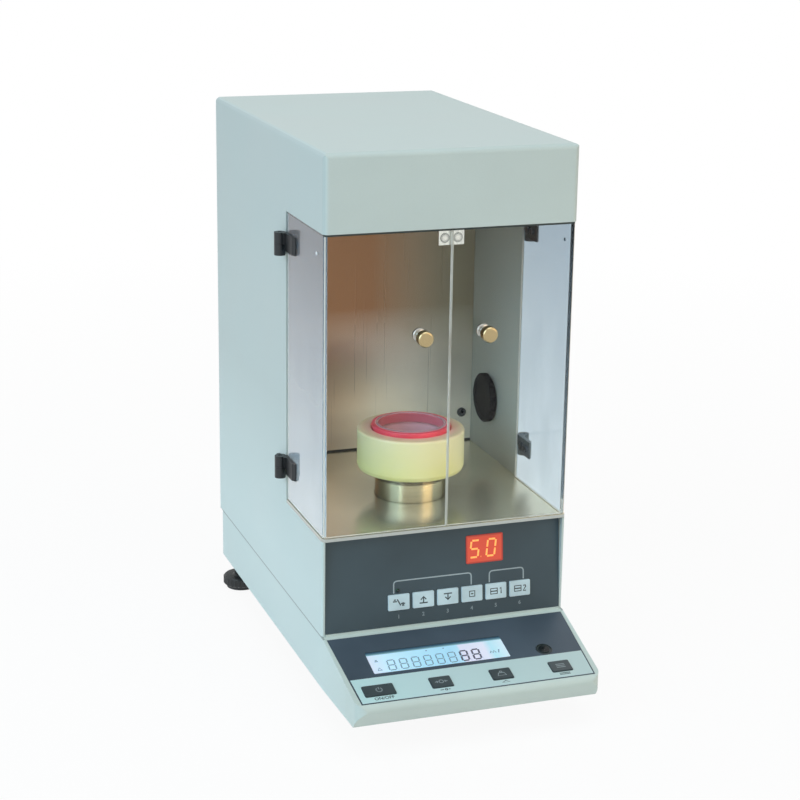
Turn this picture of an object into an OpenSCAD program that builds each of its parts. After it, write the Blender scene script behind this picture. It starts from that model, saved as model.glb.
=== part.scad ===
// Bench surface tensiometer: a glazed cabinet with a lifting sample stage and a sloping console.
// The origin is on the bench under the middle of the instrument; +Z is up and the front faces -Y.

/* [Housing] */
// Outside width of the housing
housing_w = 200; // [190:1:220]
// Outside depth of the housing
housing_d = 314; // [304:1:330]
// Height of the housing above the base
housing_h = 372; // [366:1:390]
// Height of the hood's front face
hood_h = 59; // [54:1:62]
// Thickness of the folded sheet
sheet_t = 1.2; // [1:0.1:1.5]
// Outside radius of the sheet's bends
bend_r = 4; // [3:0.5:5]
// Thickness of the hem inside each cheek
hem_t = 1.4; // [1:0.1:2]
// Depth of the glazed side window
window_d = 98; // [92:1:102]
// Depth of the chamber, from the front plane to its back wall
chamber_d = 205; // [200:1:215]
// Height of the chamber floor above the base
floor_h = 80; // [78:1:86]
// Height of the bright trim round the chamber floor
trim_h = 2.6; // [2.4:0.2:5]
// How deep the rear panel sits inside the housing's rim
rear_recess = 3; // [2.5:0.5:5]
// Width of the flanges that carry the rear panel
flange_w = 10; // [9:0.5:12]

/* [Base] */
// Height of the base, from its underside to its deck
base_h = 42; // [40:1:48]
// Wall of the base casting
base_wall = 3; // [2.5:0.5:4]
// Gap under the base, which the feet hold
foot_gap = 22; // [21:1:26]
// Thickness of the bottom plate
plate_t = 1.5; // [1:0.5:2]
// How far the console reaches in front of the housing
console_out = 82; // [80:1:90]
// Slope of the console's top, in degrees
console_slope = 15.4; // [14:0.2:16]
// Radius of the console's nose
nose_r = 5; // [4:0.5:6]
// Lean of the console's front face, in degrees
nose_lean = 36; // [30:1:38]
// How much narrower each side of the console is at its nose
console_taper = 2; // [1:0.5:3]
// Radius of the base's upright corners
corner_r = 9; // [7:0.5:10]

/* [Control panel] */
// Backward lean of the upper control panel, in degrees
panel_lean = 5.2; // [4:0.2:6]
// Thickness of the control panel
panel_t = 3; // [2.5:0.5:4]
// Height of the sill under the control panel
sill_h = 2; // [1.5:0.5:3]
// Width of a lift key
key_w = 17.6; // [16:0.2:18]
// Height of a lift key
key_h = 12.7; // [11:0.1:14]
// Distance between the centres of two lift keys
key_pitch = 20.2; // [20:0.1:21]
// Distance of the middle of the row of lift keys from the housing's right side
key_row_in = 87; // [85:0.5:90]
// Height of the row of lift keys up the panel
key_row_s = 19.3; // [18:0.1:21]
// How far a key stands in front of its panel
key_proud = 1; // [0.8:0.1:1.5]
// Width of the lit window of the speed display
led_w = 31; // [28:0.5:33]
// Height of the lit window of the speed display
led_h = 22.8; // [20:0.2:24]
// Distance of the speed display's middle from the housing's right side
led_in = 66; // [62:0.5:70]
// Height of the speed display up the panel
led_s = 54.8; // [53:0.1:57]

/* [Console] */
// Distance of the console overlay's upper corners inside the base's side
overlay_top_in = 3; // [2.5:0.5:4]
// Distance of the console overlay's lower corners inside the base's side
overlay_low_in = 6.6; // [6:0.2:8]
// Length of the console overlay down the slope
overlay_len = 77.9; // [76:0.5:79]
// Thickness of the console overlay
overlay_t = 1; // [0.9:0.1:1.4]
// Width of the result display's window
lcd_w = 110; // [100:0.5:114]
// Height of the result display's window
lcd_h = 25.4; // [24:0.2:27]
// Sideways place of the result display
lcd_x = -18.4; // [-22:0.2:-16]
// Place of the result display down the slope
lcd_s = 36.2; // [35:0.2:38]
// Place of the row of console keys down the slope
ckey_s = 68; // [67:0.2:69]
// Height of a console key
ckey_h = 12.2; // [10:0.2:13]
// Width of the three narrow console keys
ckey_w = 16.8; // [15:0.2:18]
// Width of the power key
power_w = 24.2; // [22:0.2:26]
// Radius of the spirit level
level_r = 6.5; // [5.5:0.5:7]
// Distance of the spirit level inside the base's right side
level_in = 34.4; // [32:0.2:38]
// Place of the spirit level down the slope
level_s = 45.8; // [44:0.2:47]

/* [Doors] */
// Thickness of the acrylic doors
door_t = 3; // [2.5:0.5:4]
// How far the doors' outer faces lie inside the housing's planes
door_inset = 0.8; // [0.6:0.1:1.2]
// Gap between the two doors
door_gap = 1; // [0.8:0.2:2]
// Distance of the door knobs below the hood
knob_drop = 79; // [63:1:93]
// Sideways place of the door knobs
knob_x = 25.5; // [22:0.5:30]
// Length of the door knobs
knob_l = 17; // [15:0.5:20]
// Height of the lower hinges above the chamber floor
hinge_up = 28; // [24:1:36]
// Distance of the upper hinges below the hood
hinge_drop = 25; // [21:1:33]
// Distance of the hinge pin outside the housing's side
pin_out = 5; // [5:0.5:6]
// Radius of the hinge pins
pin_r = 1.5; // [1.2:0.1:1.8]
// Radius of the hinge knuckles
knuckle_r = 4.4; // [4:0.2:4.6]

/* [Stage] */
// Distance of the stage's axis behind the front plane
stage_y = 86; // [84:0.5:90]
// Radius of the stage column
column_r = 28.5; // [27:0.5:29]
// Wall of the stage column
column_wall = 3.5; // [3:0.5:4]
// How far the stage column stands above the floor at rest
column_up = 21.5; // [21:0.5:25]
// Radius of the cup holder
cup_r = 43; // [41:0.5:45]
// Height of the cup holder
cup_h = 34; // [32:0.5:38]
// Depth of the cup holder's well
well_d = 16.5; // [15:0.5:18]
// Radius of the glass dish
dish_r = 28.2; // [28:0.2:29.4]
// Wall of the glass dish
dish_wall = 2; // [1.6:0.2:2.4]
// Thickness of the red ring
ring_t = 3.4; // [2.4:0.1:3.6]
// Height of the soft ring
ring_h = 8; // [7:0.5:9]
// How far the ring stands above the cup holder's rim
ring_proud = 3.6; // [3:0.2:4.4]
// Radius of the lead screw
screw_r = 4; // [3.5:0.5:5]
// Radius of the guide rods
rod_r = 4; // [3:0.5:4]
// Width of the lift motor
motor_w = 42.3; // [40:0.1:43]

/* [Fittings] */
// Radius of the lock knob on the chamber's right wall
lock_r = 21; // [19:0.5:22]
// Thickness of the lock knob
lock_t = 6.5; // [5.5:0.5:8]
// Distance of the lock knob behind the front plane
lock_y = 165; // [160:1:168]
// Height of the lock knob above the chamber floor
lock_up = 50; // [46:1:56]
// Radius of a levelling foot's wheel
wheel_r = 16; // [14:0.5:17]
// Height of a levelling foot's wheel
wheel_h = 8; // [7:0.5:9]
// Radius of a levelling foot's stud
stud_r = 4; // [3:0.5:4]
// Distance of the levelling feet inside the base's sides
foot_in = 10; // [9:0.5:16]
// Distance of the levelling feet in front of the housing's back
foot_back = 34; // [30:1:44]

/* [Hidden] */
$fn = 64;

// Clearances: between parts that are only laid together, and between parts that turn or slide
seat = 0.3;
run = 0.05;
// Overshoot of a cut past the face it opens
over = 1;

// Main planes, measured from the housing's front plane and from the base's deck
total_d = housing_d + console_out;
front_y = console_out - total_d / 2;
deck_z = foot_gap + base_h;
side_x = housing_w / 2;
inner_x = side_x - sheet_t;
hood_z = housing_h - hood_h;
rear_face = housing_d - rear_recess;
rear_plate_t = 1.2;
rear_seat = rear_face - rear_plate_t;
floor_under = floor_h - sheet_t;

// Colours
paint = "#c4d2cc";
dark = "#2f363a";
steel = "#b9b8ae";
board = "#2f6b45";

// Screws
screw_hole = 1.7;
screw_shank = 1.5;
screw_head = 2.8;
rear_screw_z = [30, housing_h / 2, housing_h - 30];
rear_screw_x = inner_x - flange_w / 2;
foot_front_x = side_x - 36;
foot_front_y = 20;
foot_x = side_x - foot_in;
foot_y = housing_d - foot_back;
base_screw_x = side_x - 40;
base_screws = [for (y = [-8, housing_d / 2 - 7, housing_d - 19], x = [-1, 1]) [x * base_screw_x, y]];
boss_r = 5;

// A rectangle between two corners with a radius for each corner, anticlockwise from the lowest
module rounded(lo, hi, r) {
    corners = [lo, [hi.x, lo.y], hi, [lo.x, hi.y]];
    inward = [[1, 1], [-1, 1], [-1, -1], [1, -1]];
    difference() {
        translate(lo) square(hi - lo);
        for (i = [0:3]) if (r[i] > 0)
            translate(corners[i] + [min(0, inward[i].x), min(0, inward[i].y)] * r[i]) square(r[i]);
    }
    for (i = [0:3]) if (r[i] > 0)
        translate(corners[i] + inward[i] * r[i]) circle(r[i]);
}

// A centred rounded plate of one radius, from z0 up to z1
module slab(w, h, r, z0, z1) {
    translate([0, 0, z0]) linear_extrude(z1 - z0)
        rounded([-w / 2, -h / 2], [w / 2, h / 2], [r, r, r, r]);
}

// A box between two corners
module block(lo, hi) {
    translate(lo) cube(hi - lo);
}

// A turned piece: the outline is given as radius and height
module turned(outline) {
    rotate_extrude() polygon(outline);
}

// The housing's frame: the front plane's foot on the deck
module cabinet() {
    translate([0, front_y, deck_z]) children();
}

// Drawings stood up: drawn as X and Z and pushed back along Y, or drawn as Y and Z and pushed along X
module push_y(y0, y1) {
    translate([0, y1, 0]) rotate([90, 0, 0]) linear_extrude(y1 - y0) children();
}
module push_x(x0, x1) {
    translate([x0, 0, 0]) rotate([90, 0, 90]) linear_extrude(x1 - x0) children();
}

// The left and right copies of a piece drawn on the right
module both_sides() {
    children();
    mirror([1, 0, 0]) children();
}

// ---------------------------------------------------------------- base and console

// Centre of the nose's rounding, so that the slope runs through the deck's front edge
nose_y = -(console_out - nose_r);
nose_z = (nose_y * sin(console_slope) - nose_r) / cos(console_slope);

// Side outline of the base, drawn in by an inset, open at the bottom where it is a cavity
function side_points(inset, low) =
    let (r = nose_r - inset,
         top = [nose_y - r * sin(console_slope), nose_z + r * cos(console_slope)],
         front = [nose_y - r * cos(nose_lean), nose_z - r * sin(nose_lean)])
    [top, [top.x + (-inset - top.y) / tan(console_slope), -inset], [housing_d - inset, -inset],
     [housing_d - inset, low], [front.x + (front.y - low) * tan(nose_lean), low], front, [nose_y, nose_z]];

module side_outline(inset, low) {
    polygon(side_points(inset, low));
    translate([nose_y, nose_z]) circle(nose_r - inset);
}

// Plan of the base: square at the housing and drawn in towards the nose
module plan_outline(inset) {
    x = side_x - inset;
    nose_x = x - console_taper;
    y = -console_out + inset;
    r = corner_r - inset;
    rounded([-x, 0], [x, housing_d - inset], [0, 0, r, r]);
    polygon([[-x, 0.1], [x, 0.1], [nose_x, y + r], [nose_x - r, y + r], [nose_x - r, y],
             [r - nose_x, y], [r - nose_x, y + r], [-nose_x, y + r]]);
    for (s = [-1, 1]) translate([s * (nose_x - r), y + r]) circle(r);
}

module base_envelope(inset, low) {
    intersection() {
        push_x(-side_x - over, side_x + over) side_outline(inset, low);
        translate([0, 0, low - over]) linear_extrude(over + base_h + over - low) plan_outline(inset);
    }
}

// Frame on the console's slope: Y runs up the slope, Z out of it
module slope() {
    rotate([console_slope, 0, 0]) children();
}

overlay_top = side_x - overlay_top_in;
overlay_low = side_x - overlay_low_in;
level_x = side_x - level_in;
overlay_s0 = 3.4;
overlay_recess = 0.8;
lcd_clear = 0.15;
key_flange = 1;
key_step = 0.9;
board_t = 1.6;
console_board_z = -7.4;
ckey_x = [-0.761, -0.27, 0.216, 0.702] * side_x;
ckey_widths = [power_w, ckey_w, ckey_w, ckey_w];

module console_openings(z0, z1, gap) {
    translate([lcd_x, -lcd_s, 0]) slab(lcd_w + 2 * gap, lcd_h + 2 * gap, 1, z0, z1);
    for (i = [0:3]) translate([ckey_x[i], -ckey_s, 0])
        slab(ckey_widths[i] + 2 * seat, ckey_h + 2 * seat, 1 + seat, z0, z1);
    translate([level_x, -level_s, z0]) cylinder(r = level_r + gap, h = z1 - z0);
}

module overlay_outline(grow) {
    s0 = -overlay_s0 + grow;
    s1 = -overlay_s0 - overlay_len - grow;
    polygon([[-overlay_top - grow, s0], [overlay_top + grow, s0],
             [overlay_low + grow, s1], [-overlay_low - grow, s1]]);
}

console_board_x = side_x - 8;
console_posts = [[4 - console_board_x, -22], [console_board_x - 4, -22],
                 [-0.5 * side_x, -75], [0.46 * side_x, -75]];

module base_shell() color(paint) {
    difference() {
        union() {
            difference() {
                base_envelope(0, -base_h);
                base_envelope(base_wall, -base_h - over);
            }
            block([-inner_x + hem_t + seat, 0.4, -0.5], [inner_x - hem_t - seat, 3.6, sill_h]);
            for (p = base_screws) {
                drop = min(0, p.y) * tan(console_slope);
                translate([p.x, p.y, -base_h + plate_t])
                    cylinder(r = boss_r, h = base_h - plate_t - base_wall + 0.5 + drop);
            }
        }
        slope() {
            translate([0, 0, -overlay_recess]) linear_extrude(over + 4) overlay_outline(seat);
            console_openings(-base_wall - over, over, lcd_clear);
        }
        translate([0, stage_y, -base_wall - over]) cylinder(r = pilot_r + seat, h = base_wall + 2 * over);
        for (x = [-1, 1], y = [-1, 1])
            translate([x * motor_hole, stage_y + y * motor_hole, -base_wall - over])
                cylinder(r = screw_hole, h = base_wall + 2 * over, $fn = 24);
        for (p = base_screws) translate([p.x, p.y, -base_h - over])
            cylinder(r = screw_shank + run, h = over + plate_t + 7, $fn = 24);
    }
    slope() for (p = console_posts) translate([p.x, p.y, console_board_z])
        cylinder(r = 3, h = -console_board_z - base_wall + 0.4, $fn = 32);
}

module base_plate() color("#9a9d9c") {
    gap = base_wall + seat;
    front = nose_y - (nose_r - gap) * cos(nose_lean)
        + (nose_z - (nose_r - gap) * sin(nose_lean) + base_h) * tan(nose_lean);
    difference() {
        union() {
            translate([0, 0, -base_h]) linear_extrude(plate_t) difference() {
                plan_outline(gap);
                translate([-side_x, -console_out - over]) square([housing_w, console_out + over + front]);
            }
            both_sides() translate([foot_x, foot_y, -base_h]) cylinder(r = stud_r + 2.5, h = 12);
            both_sides() translate([foot_front_x, foot_front_y, -base_h]) cylinder(r = 6, h = 4);
        }
        for (p = base_screws) translate([p.x, p.y, -base_h - over])
            cylinder(r = screw_hole, h = plate_t + 2 * over, $fn = 24);
        for (x = [-1, 1]) translate([x * foot_x, foot_y, -base_h - over])
            cylinder(r = stud_r + run, h = 14);
        for (x = [-1, 1]) translate([x * foot_front_x, foot_front_y, -base_h - over])
            cylinder(r = front_stud_r + run, h = 6);
        for (i = [-6:6]) translate([i * 8, 215, -base_h - over])
            slab(3, 34, 1.4, 0, plate_t + 2 * over);
    }
}

module console_overlay() color(dark) slope() difference() {
    translate([0, 0, -overlay_recess]) linear_extrude(overlay_t) overlay_outline(0);
    console_openings(-overlay_recess - over, over + overlay_t, lcd_clear);
}

module lcd_window() color("#b8d8ec") slope() translate([lcd_x, -lcd_s, 0])
    slab(lcd_w, lcd_h, 1, 0.1 - base_wall, 0);

module lcd_display() color("#9fb0a0") slope() translate([lcd_x, -lcd_s, 0]) {
    difference() {
        slab(lcd_w + 8, lcd_h + 6, 0.8, console_board_z, -base_wall - run);
        slab(lcd_w - 4, lcd_h - 4, 0.5, -base_wall - 0.6, over);
    }
}

console_board_s = [18, 79];

module console_board() color(board) slope() difference() {
    union() {
        block([-console_board_x, -console_board_s[1], console_board_z - board_t],
              [console_board_x, -console_board_s[0], console_board_z]);
        for (i = [0:3]) translate([ckey_x[i], -ckey_s, console_board_z])
            cylinder(r = 3, h = -base_wall - key_flange - key_step - console_board_z, $fn = 32);
        // a driver chip and a connector under the board
        translate([0.41 * side_x, -console_board_s[0] - 15, console_board_z - board_t])
            slab(22, 14, 0.5, -2, 0);
        translate([-0.18 * side_x, -console_board_s[1] + 25, console_board_z - board_t])
            slab(24, 12, 0.5, -3, 0);
    }
    translate([level_x, -level_s, console_board_z - board_t - over])
        cylinder(r = 4, h = board_t + 2 * over);
}

module level_vial() color("#d8e8a0") slope() translate([level_x, -level_s, 0]) {
    difference() {
        turned([[0, -6], [level_r + 2, -6], [level_r + 2, -base_wall], [level_r, -base_wall],
                [level_r, 0.3], [level_r - 0.4, 0.6], [0, 0.6]]);
        difference() {
            translate([0, 0, -0.2]) cylinder(r = level_r - 0.9, h = 2);
            translate([0, 0, -0.5]) cylinder(r = level_r - 2.1, h = 2);
        }
    }
}

// A key: a cap that stands out of its opening and a flange that holds it in
module key_cap(w, h, wall) {
    slab(w, h, 1, -wall - 0.1, key_proud - 0.35);
    slab(w - 0.7, h - 0.7, 0.7, 0, key_proud);
    slab(w + 1.8, h + 1.8, 1, -wall - key_flange, -wall);
}

module console_key(i) color(dark) slope() translate([ckey_x[i], -ckey_s, 0])
    key_cap(ckey_widths[i], ckey_h, base_wall);

// ---------------------------------------------------------------- upper control panel

// Frame on the control panel: Y runs up the panel, Z out of its face
module panel() {
    translate([0, 0.9, sill_h]) rotate([90 - panel_lean, 0, 0]) children();
}

panel_x = inner_x - hem_t - 0.2;
key_row_x = side_x - key_row_in;
led_x = side_x - led_in;
panel_len = (floor_under - seat - sill_h) / cos(panel_lean);
panel_board_z = -panel_t - 3.5;
lens_gap = 0.1;
lens_t = 2.2;
indicator = [key_row_x - 51, 30.5 - sill_h];
indicator_r = 1.5;
lift_key_x = [for (i = [0:5]) key_row_x + (i - 2.5) * key_pitch];
board_studs = [for (s = [4, led_s + 9.2], x = [indicator.x - 8, key_row_x + 65]) [x, s]];

module control_panel() color(dark) panel() {
    difference() {
        translate([0, 0, -panel_t]) linear_extrude(panel_t)
            translate([-panel_x, 0.3]) square([2 * panel_x, panel_len - 0.3]);
        for (x = lift_key_x) translate([x, key_row_s, 0])
            slab(key_w + 2 * seat, key_h + 2 * seat, 1 + seat, -panel_t - over, over);
        translate([led_x, led_s, 0]) slab(led_w + 2 * lens_gap, led_h + 2 * lens_gap, 1.5, -lens_t, over);
        translate([led_x, led_s, 0]) slab(led_w - 3, led_h - 3, 1, -panel_t - over, over);
        translate([indicator.x, indicator.y, -panel_t - over])
            cylinder(r = indicator_r + 0.15, h = panel_t + 2 * over);
    }
    for (p = board_studs) translate([p.x, p.y, panel_board_z])
        cylinder(r = 2.5, h = -panel_board_z - panel_t + 0.4, $fn = 32);
}

module led_window() color("#e8583e") panel() translate([led_x, led_s, 0])
    slab(led_w, led_h, 1.5, -lens_t, 0.3);

module led_display() color("#4a2018") panel() translate([led_x, led_s, 0]) difference() {
    slab(led_w + 2, led_h + 2, 0.5, panel_board_z, -panel_t);
    for (x = [-1, 1]) translate([x * 6.3, 0, 0]) slab(9, 14, 0.5, -panel_t - 0.8, over);
}

module key_board() color(board) panel() {
    block([board_studs[0].x - 4, 0.8, panel_board_z - board_t],
          [board_studs[1].x + 4, led_s + 13.2, panel_board_z]);
    for (x = lift_key_x) translate([x, key_row_s, panel_board_z])
        cylinder(r = 3, h = -panel_t - key_flange - key_step - panel_board_z, $fn = 32);
    translate([indicator.x, indicator.y, panel_board_z])
        cylinder(r = indicator_r, h = -panel_board_z + 0.2, $fn = 32);
    translate([indicator.x, indicator.y, 0.2]) sphere(r = indicator_r, $fn = 32);
    // a plug and three round parts behind the board
    translate([indicator.x + 10, led_s - 4.8, panel_board_z - board_t]) slab(24, 12, 0.5, -3, 0);
    for (i = [0:2]) translate([led_x + 16 + i * 12, indicator.y + 9.5, panel_board_z - board_t - 7])
        cylinder(r = 3, h = 7.1, $fn = 32);
}

module lift_key(i) color("#c9d6d4") panel() translate([lift_key_x[i], key_row_s, 0])
    key_cap(key_w, key_h, panel_t);

// ---------------------------------------------------------------- housing

lock_z = floor_h + lock_up;
spindle_r = 3;

// The folded housing's outer form, drawn in by an inset
module housing_envelope(inset, y0, y1, low) {
    r = bend_r - inset;
    x = side_x - inset;
    top = housing_h - inset;
    intersection() {
        push_y(y0, y1) rounded([-x, low], [x, top], [0, 0, r, r]);
        push_x(-side_x, side_x) rounded([y0, low], [y1, top], [0, 0, 0, r]);
        translate([0, 0, low]) linear_extrude(housing_h - low) rounded([-x, y0], [x, y1], [r, r, 0, 0]);
    }
}

module housing_shell() color(paint) difference() {
    union() {
        difference() {
            housing_envelope(0, 0, housing_d, 0);
            housing_envelope(sheet_t, sheet_t, housing_d + over, -over);
            block([-inner_x, -over, -over], [inner_x, bend_r + over, hood_z]);
            block([-side_x - over, -over, floor_h - trim_h], [side_x + over, window_d, hood_z]);
        }
        // hems that stiffen the cheeks beside the control panel
        both_sides() block([inner_x - hem_t, sheet_t, 0], [inner_x + 0.1, 14, floor_h - trim_h]);
        // foot flanges and the flanges behind the rear panel
        both_sides() block([inner_x - flange_w, 30, 0], [inner_x + 0.1, rear_seat - 20, sheet_t]);
        both_sides() block([inner_x - flange_w, rear_seat - sheet_t, 6],
                           [inner_x + 0.1, rear_seat, housing_h - sheet_t]);
        block([-inner_x, rear_seat - sheet_t, housing_h - sheet_t - flange_w],
              [inner_x, rear_seat, housing_h - sheet_t + 0.1]);
    }
    for (x = [-1, 1], z = rear_screw_z)
        translate([x * rear_screw_x, rear_face + over, z]) rotate([90, 0, 0])
            cylinder(r = screw_hole, h = 2 * over + rear_plate_t + sheet_t + 1, $fn = 24);
    translate([inner_x - over, lock_y, lock_z]) rotate([0, 90, 0])
        cylinder(r = spindle_r + run, h = sheet_t + 2 * over);
}

power_w_box = 28;
power_h_box = 50;
power_x = -0.58 * side_x;
power_z = 46;
port_x = 0.5 * side_x;
port_z = 46;
vent_x = 0.34 * side_x;
vent_z = housing_h - 122;

module power_cutout() {
    rounded([-power_w_box / 2, -power_h_box / 2], [power_w_box / 2, power_h_box / 2], [2, 2, 2, 2]);
}

module rear_panel() color(paint) difference() {
    push_y(rear_seat, rear_face) translate([0, housing_h / 2])
        rounded([-inner_x + seat, -housing_h / 2 + seat], [inner_x - seat, housing_h / 2 - sheet_t - seat],
                [1, 1, bend_r - sheet_t, bend_r - sheet_t]);
    for (x = [-1, 1], z = rear_screw_z)
        translate([x * rear_screw_x, rear_face + over, z]) rotate([90, 0, 0])
            cylinder(r = screw_hole, h = 2 * over + rear_plate_t, $fn = 24);
    // two banks of cooling slots
    for (x = [-vent_x, vent_x], i = [-6:6])
        push_y(rear_seat - over, rear_face + over) translate([x, vent_z + i * 8])
            rounded([-22, -1.5], [22, 1.5], [1.4, 1.4, 1.4, 1.4]);
    push_y(rear_seat - over, rear_face + over) translate([power_x, power_z]) power_cutout();
    // opening for the data socket, which the main board's connector fills
    push_y(rear_seat - over, rear_face + over) translate([port_x, port_z])
        rounded([-12 - seat, -6 - seat], [12 + seat, 6 + seat], [2, 2, 2, 2]);
}

// ---------------------------------------------------------------- chamber

column_gap = 0.7;

module floor_outline(inset) {
    r = bend_r - inset;
    rounded([-side_x + inset, inset], [side_x - inset, window_d - seat], [r, r, 0, 0]);
}

module chamber_floor() color(steel) {
    difference() {
        union() {
            translate([0, 0, floor_under]) linear_extrude(sheet_t) {
                floor_outline(0);
                translate([-inner_x + seat, window_d - over])
                    square([2 * (inner_x - seat), chamber_d - seat - window_d + over]);
            }
            translate([0, 0, floor_h - trim_h]) linear_extrude(trim_h - sheet_t + 0.1) difference() {
                floor_outline(0);
                floor_outline(sheet_t);
                translate([-inner_x, bend_r + over]) square([2 * inner_x, window_d]);
            }
        }
        translate([0, stage_y, floor_under - over])
            cylinder(r = column_r + column_gap, h = sheet_t + 2 * over);
    }
}

probe = [inner_x - 9.2, floor_h + 26];
grommet_r = 4;

module chamber_back() color("#8f7a5c") difference() {
    push_y(chamber_d, chamber_d + sheet_t) translate([-inner_x + seat, sheet_t + seat])
        square([2 * (inner_x - seat), hood_z - sheet_t - seat]);
    translate([probe.x, chamber_d - over, probe.y]) rotate([-90, 0, 0])
        cylinder(r = grommet_r - 1.5, h = sheet_t + 2 * over);
}

module probe_grommet() color("#3a3d3e") translate([probe.x, chamber_d, probe.y]) rotate([90, 0, 0])
    turned([[1.2, 0], [grommet_r, 0], [grommet_r, 1.2], [grommet_r - 0.8, 2], [1.2, 2]]);

hook_hole = 6;

module chamber_ceiling() color("#c9c8c0") difference() {
    block([-inner_x + seat, sheet_t + seat, hood_z],
          [inner_x - seat, chamber_d + sheet_t, hood_z + sheet_t]);
    // rounded off where the hood's front corners bend
    for (x = [-1, 1]) translate([x * inner_x, sheet_t, hood_z - over]) rotate([0, 0, 45])
        block([-2.2, -2.2, 0], [2.2, 2.2, sheet_t + 2 * over]);
    translate([0, stage_y, hood_z - over]) cylinder(r = hook_hole, h = sheet_t + 2 * over);
}

catch_w = 20;
catch_h = 13;
catch_y = door_inset + door_t + 0.7;
magnet_r = 3.4;

module catch_bracket() color("#c8cac8") {
    difference() {
        union() {
            block([-catch_w / 2, catch_y, hood_z - catch_h], [catch_w / 2, catch_y + 1.5, hood_z]);
            block([-catch_w / 2, catch_y, hood_z - 1.5], [catch_w / 2, catch_y + 14, hood_z]);
        }
        for (x = [-1, 1]) translate([x * 5.2, catch_y - over, hood_z - catch_h + 5.4]) rotate([-90, 0, 0])
            cylinder(r = magnet_r + run, h = 1.5 + 2 * over);
    }
    // the two magnets pressed into it
    for (x = [-1, 1]) translate([x * 5.2, catch_y - 0.3, hood_z - catch_h + 5.4]) rotate([-90, 0, 0])
        cylinder(r = magnet_r, h = 3.2);
}

// ---------------------------------------------------------------- doors and hinges

door_z0 = floor_h + 0.5;
door_z1 = hood_z - 0.5;
door_out = side_x - door_inset;
door_end = window_d - 0.8;
pin_x = side_x + pin_out;
hinge_z = [floor_h + hinge_up, hood_z - hinge_drop];
knob_z = hood_z - knob_drop;
leaf_h = 14;
knuckle_h = 9;
leaf_screw_r = 1.6;
clamp_screw_y = [window_d - 12, window_d - 20];

// A door drawn on the right: a side pane and a front pane folded from one sheet
module door() color([0.85, 0.93, 0.95, 0.35]) difference() {
    translate([0, 0, door_z0]) linear_extrude(door_z1 - door_z0) difference() {
        rounded([door_gap / 2, door_inset], [door_out, door_end], [0, bend_r - 1, 0, 0]);
        translate([0, door_inset + door_t])
            rounded([-over, 0], [door_out - door_t, door_end], [0, 0.8, 0, 0]);
    }
    for (z = hinge_z, y = clamp_screw_y)
        translate([door_out - door_t - over, y, z + 2.5]) rotate([0, 90, 0])
            cylinder(r = leaf_screw_r + run, h = door_t + 2 * over, $fn = 24);
    translate([knob_x, door_inset - over, knob_z]) rotate([-90, 0, 0])
        cylinder(r = leaf_screw_r + run, h = door_t + 2 * over, $fn = 24);
}

leaf_reach = 26;

// The half of a hinge that grips the door, with its upper knuckle
module door_clamp(z) translate([0, 0, z]) {
    y1 = window_d - knuckle_r - 1.4;
    difference() {
        union() {
            // outer leaf with a bevelled edge
            translate([0, 0, -5]) linear_extrude(leaf_h)
                polygon([[door_out, window_d - leaf_reach], [door_out + 1, window_d - leaf_reach],
                         [door_out + 3, window_d - leaf_reach + 3], [door_out + 3, y1], [door_out, y1]]);
            block([door_out, y1 - 1, 0.2], [pin_x - 1, window_d + 1.2, knuckle_h]);
            translate([pin_x, window_d, 0.2]) cylinder(r = knuckle_r, h = knuckle_h - 0.2);
        }
        translate([pin_x, window_d, -over]) cylinder(r = pin_r + run, h = knuckle_h + 2 * over);
        block([door_out - over, window_d - 0.7, -over], [side_x + 0.5, window_d + 4, knuckle_h + over]);
    }
    // screws through the pane, with round nuts on its inside
    for (y = clamp_screw_y) translate([0, y, 2.5]) {
        translate([door_out - door_t - 0.1, 0, 0]) rotate([0, 90, 0])
            cylinder(r = leaf_screw_r, h = door_t + 0.2, $fn = 24);
        translate([door_out - door_t - 1.6, 0, 0]) rotate([0, 90, 0]) cylinder(r = 2.6, h = 1.6);
    }
}

module door_clamps() color("#23282a") for (z = hinge_z) door_clamp(z);

// The half of a hinge that is fixed to the housing, with its lower knuckle
module hinge_block(z) translate([0, 0, z]) difference() {
    union() {
        translate([0, 0, 0]) push_x(side_x, side_x + 3)
            polygon([[window_d + 6.2, -9], [window_d + 18, -6], [window_d + 18, 5], [window_d + 6.2, 5]]);
        block([side_x + 1, window_d - 1, -knuckle_h], [pin_x, window_d + 7, 0]);
        translate([pin_x, window_d, -knuckle_h]) cylinder(r = knuckle_r, h = knuckle_h);
    }
    translate([pin_x, window_d, -knuckle_h - over]) cylinder(r = pin_r + run, h = knuckle_h + 2 * over);
    translate([side_x + 3 + over, window_d + 13, -1]) rotate([0, -90, 0]) cylinder(r = 2.2, h = over + 1);
}

module hinge_blocks() color("#23282a") both_sides() for (z = hinge_z) hinge_block(z);

module hinge_pins() color("#a8aaa8") both_sides() for (z = hinge_z)
    translate([pin_x, window_d, z - knuckle_h]) cylinder(r = pin_r, h = 2 * knuckle_h - 0.5);

// A door knob, turned: a dark collar, a bright neck and a domed brass head
module door_knob() color("#c8aa5a") translate([knob_x, door_inset, knob_z]) rotate([90, 0, 0]) {
    turned([[0, 0], [5.4, 0], [5.4, 1.8], [4.6, 2.4], [3.4, 2.8], [3.2, knob_l - 9], [4.4, knob_l - 7.4],
            [6, knob_l - 6.6], [6, knob_l - 0.9], [5.3, knob_l - 0.2], [4.6, knob_l], [0, knob_l]]);
    translate([0, 0, -door_t - 0.1]) cylinder(r = leaf_screw_r, h = door_t + 0.2, $fn = 24);
    translate([0, 0, -door_t - 1.5]) cylinder(r = 3, h = 1.5);
}

// ---------------------------------------------------------------- lift

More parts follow.
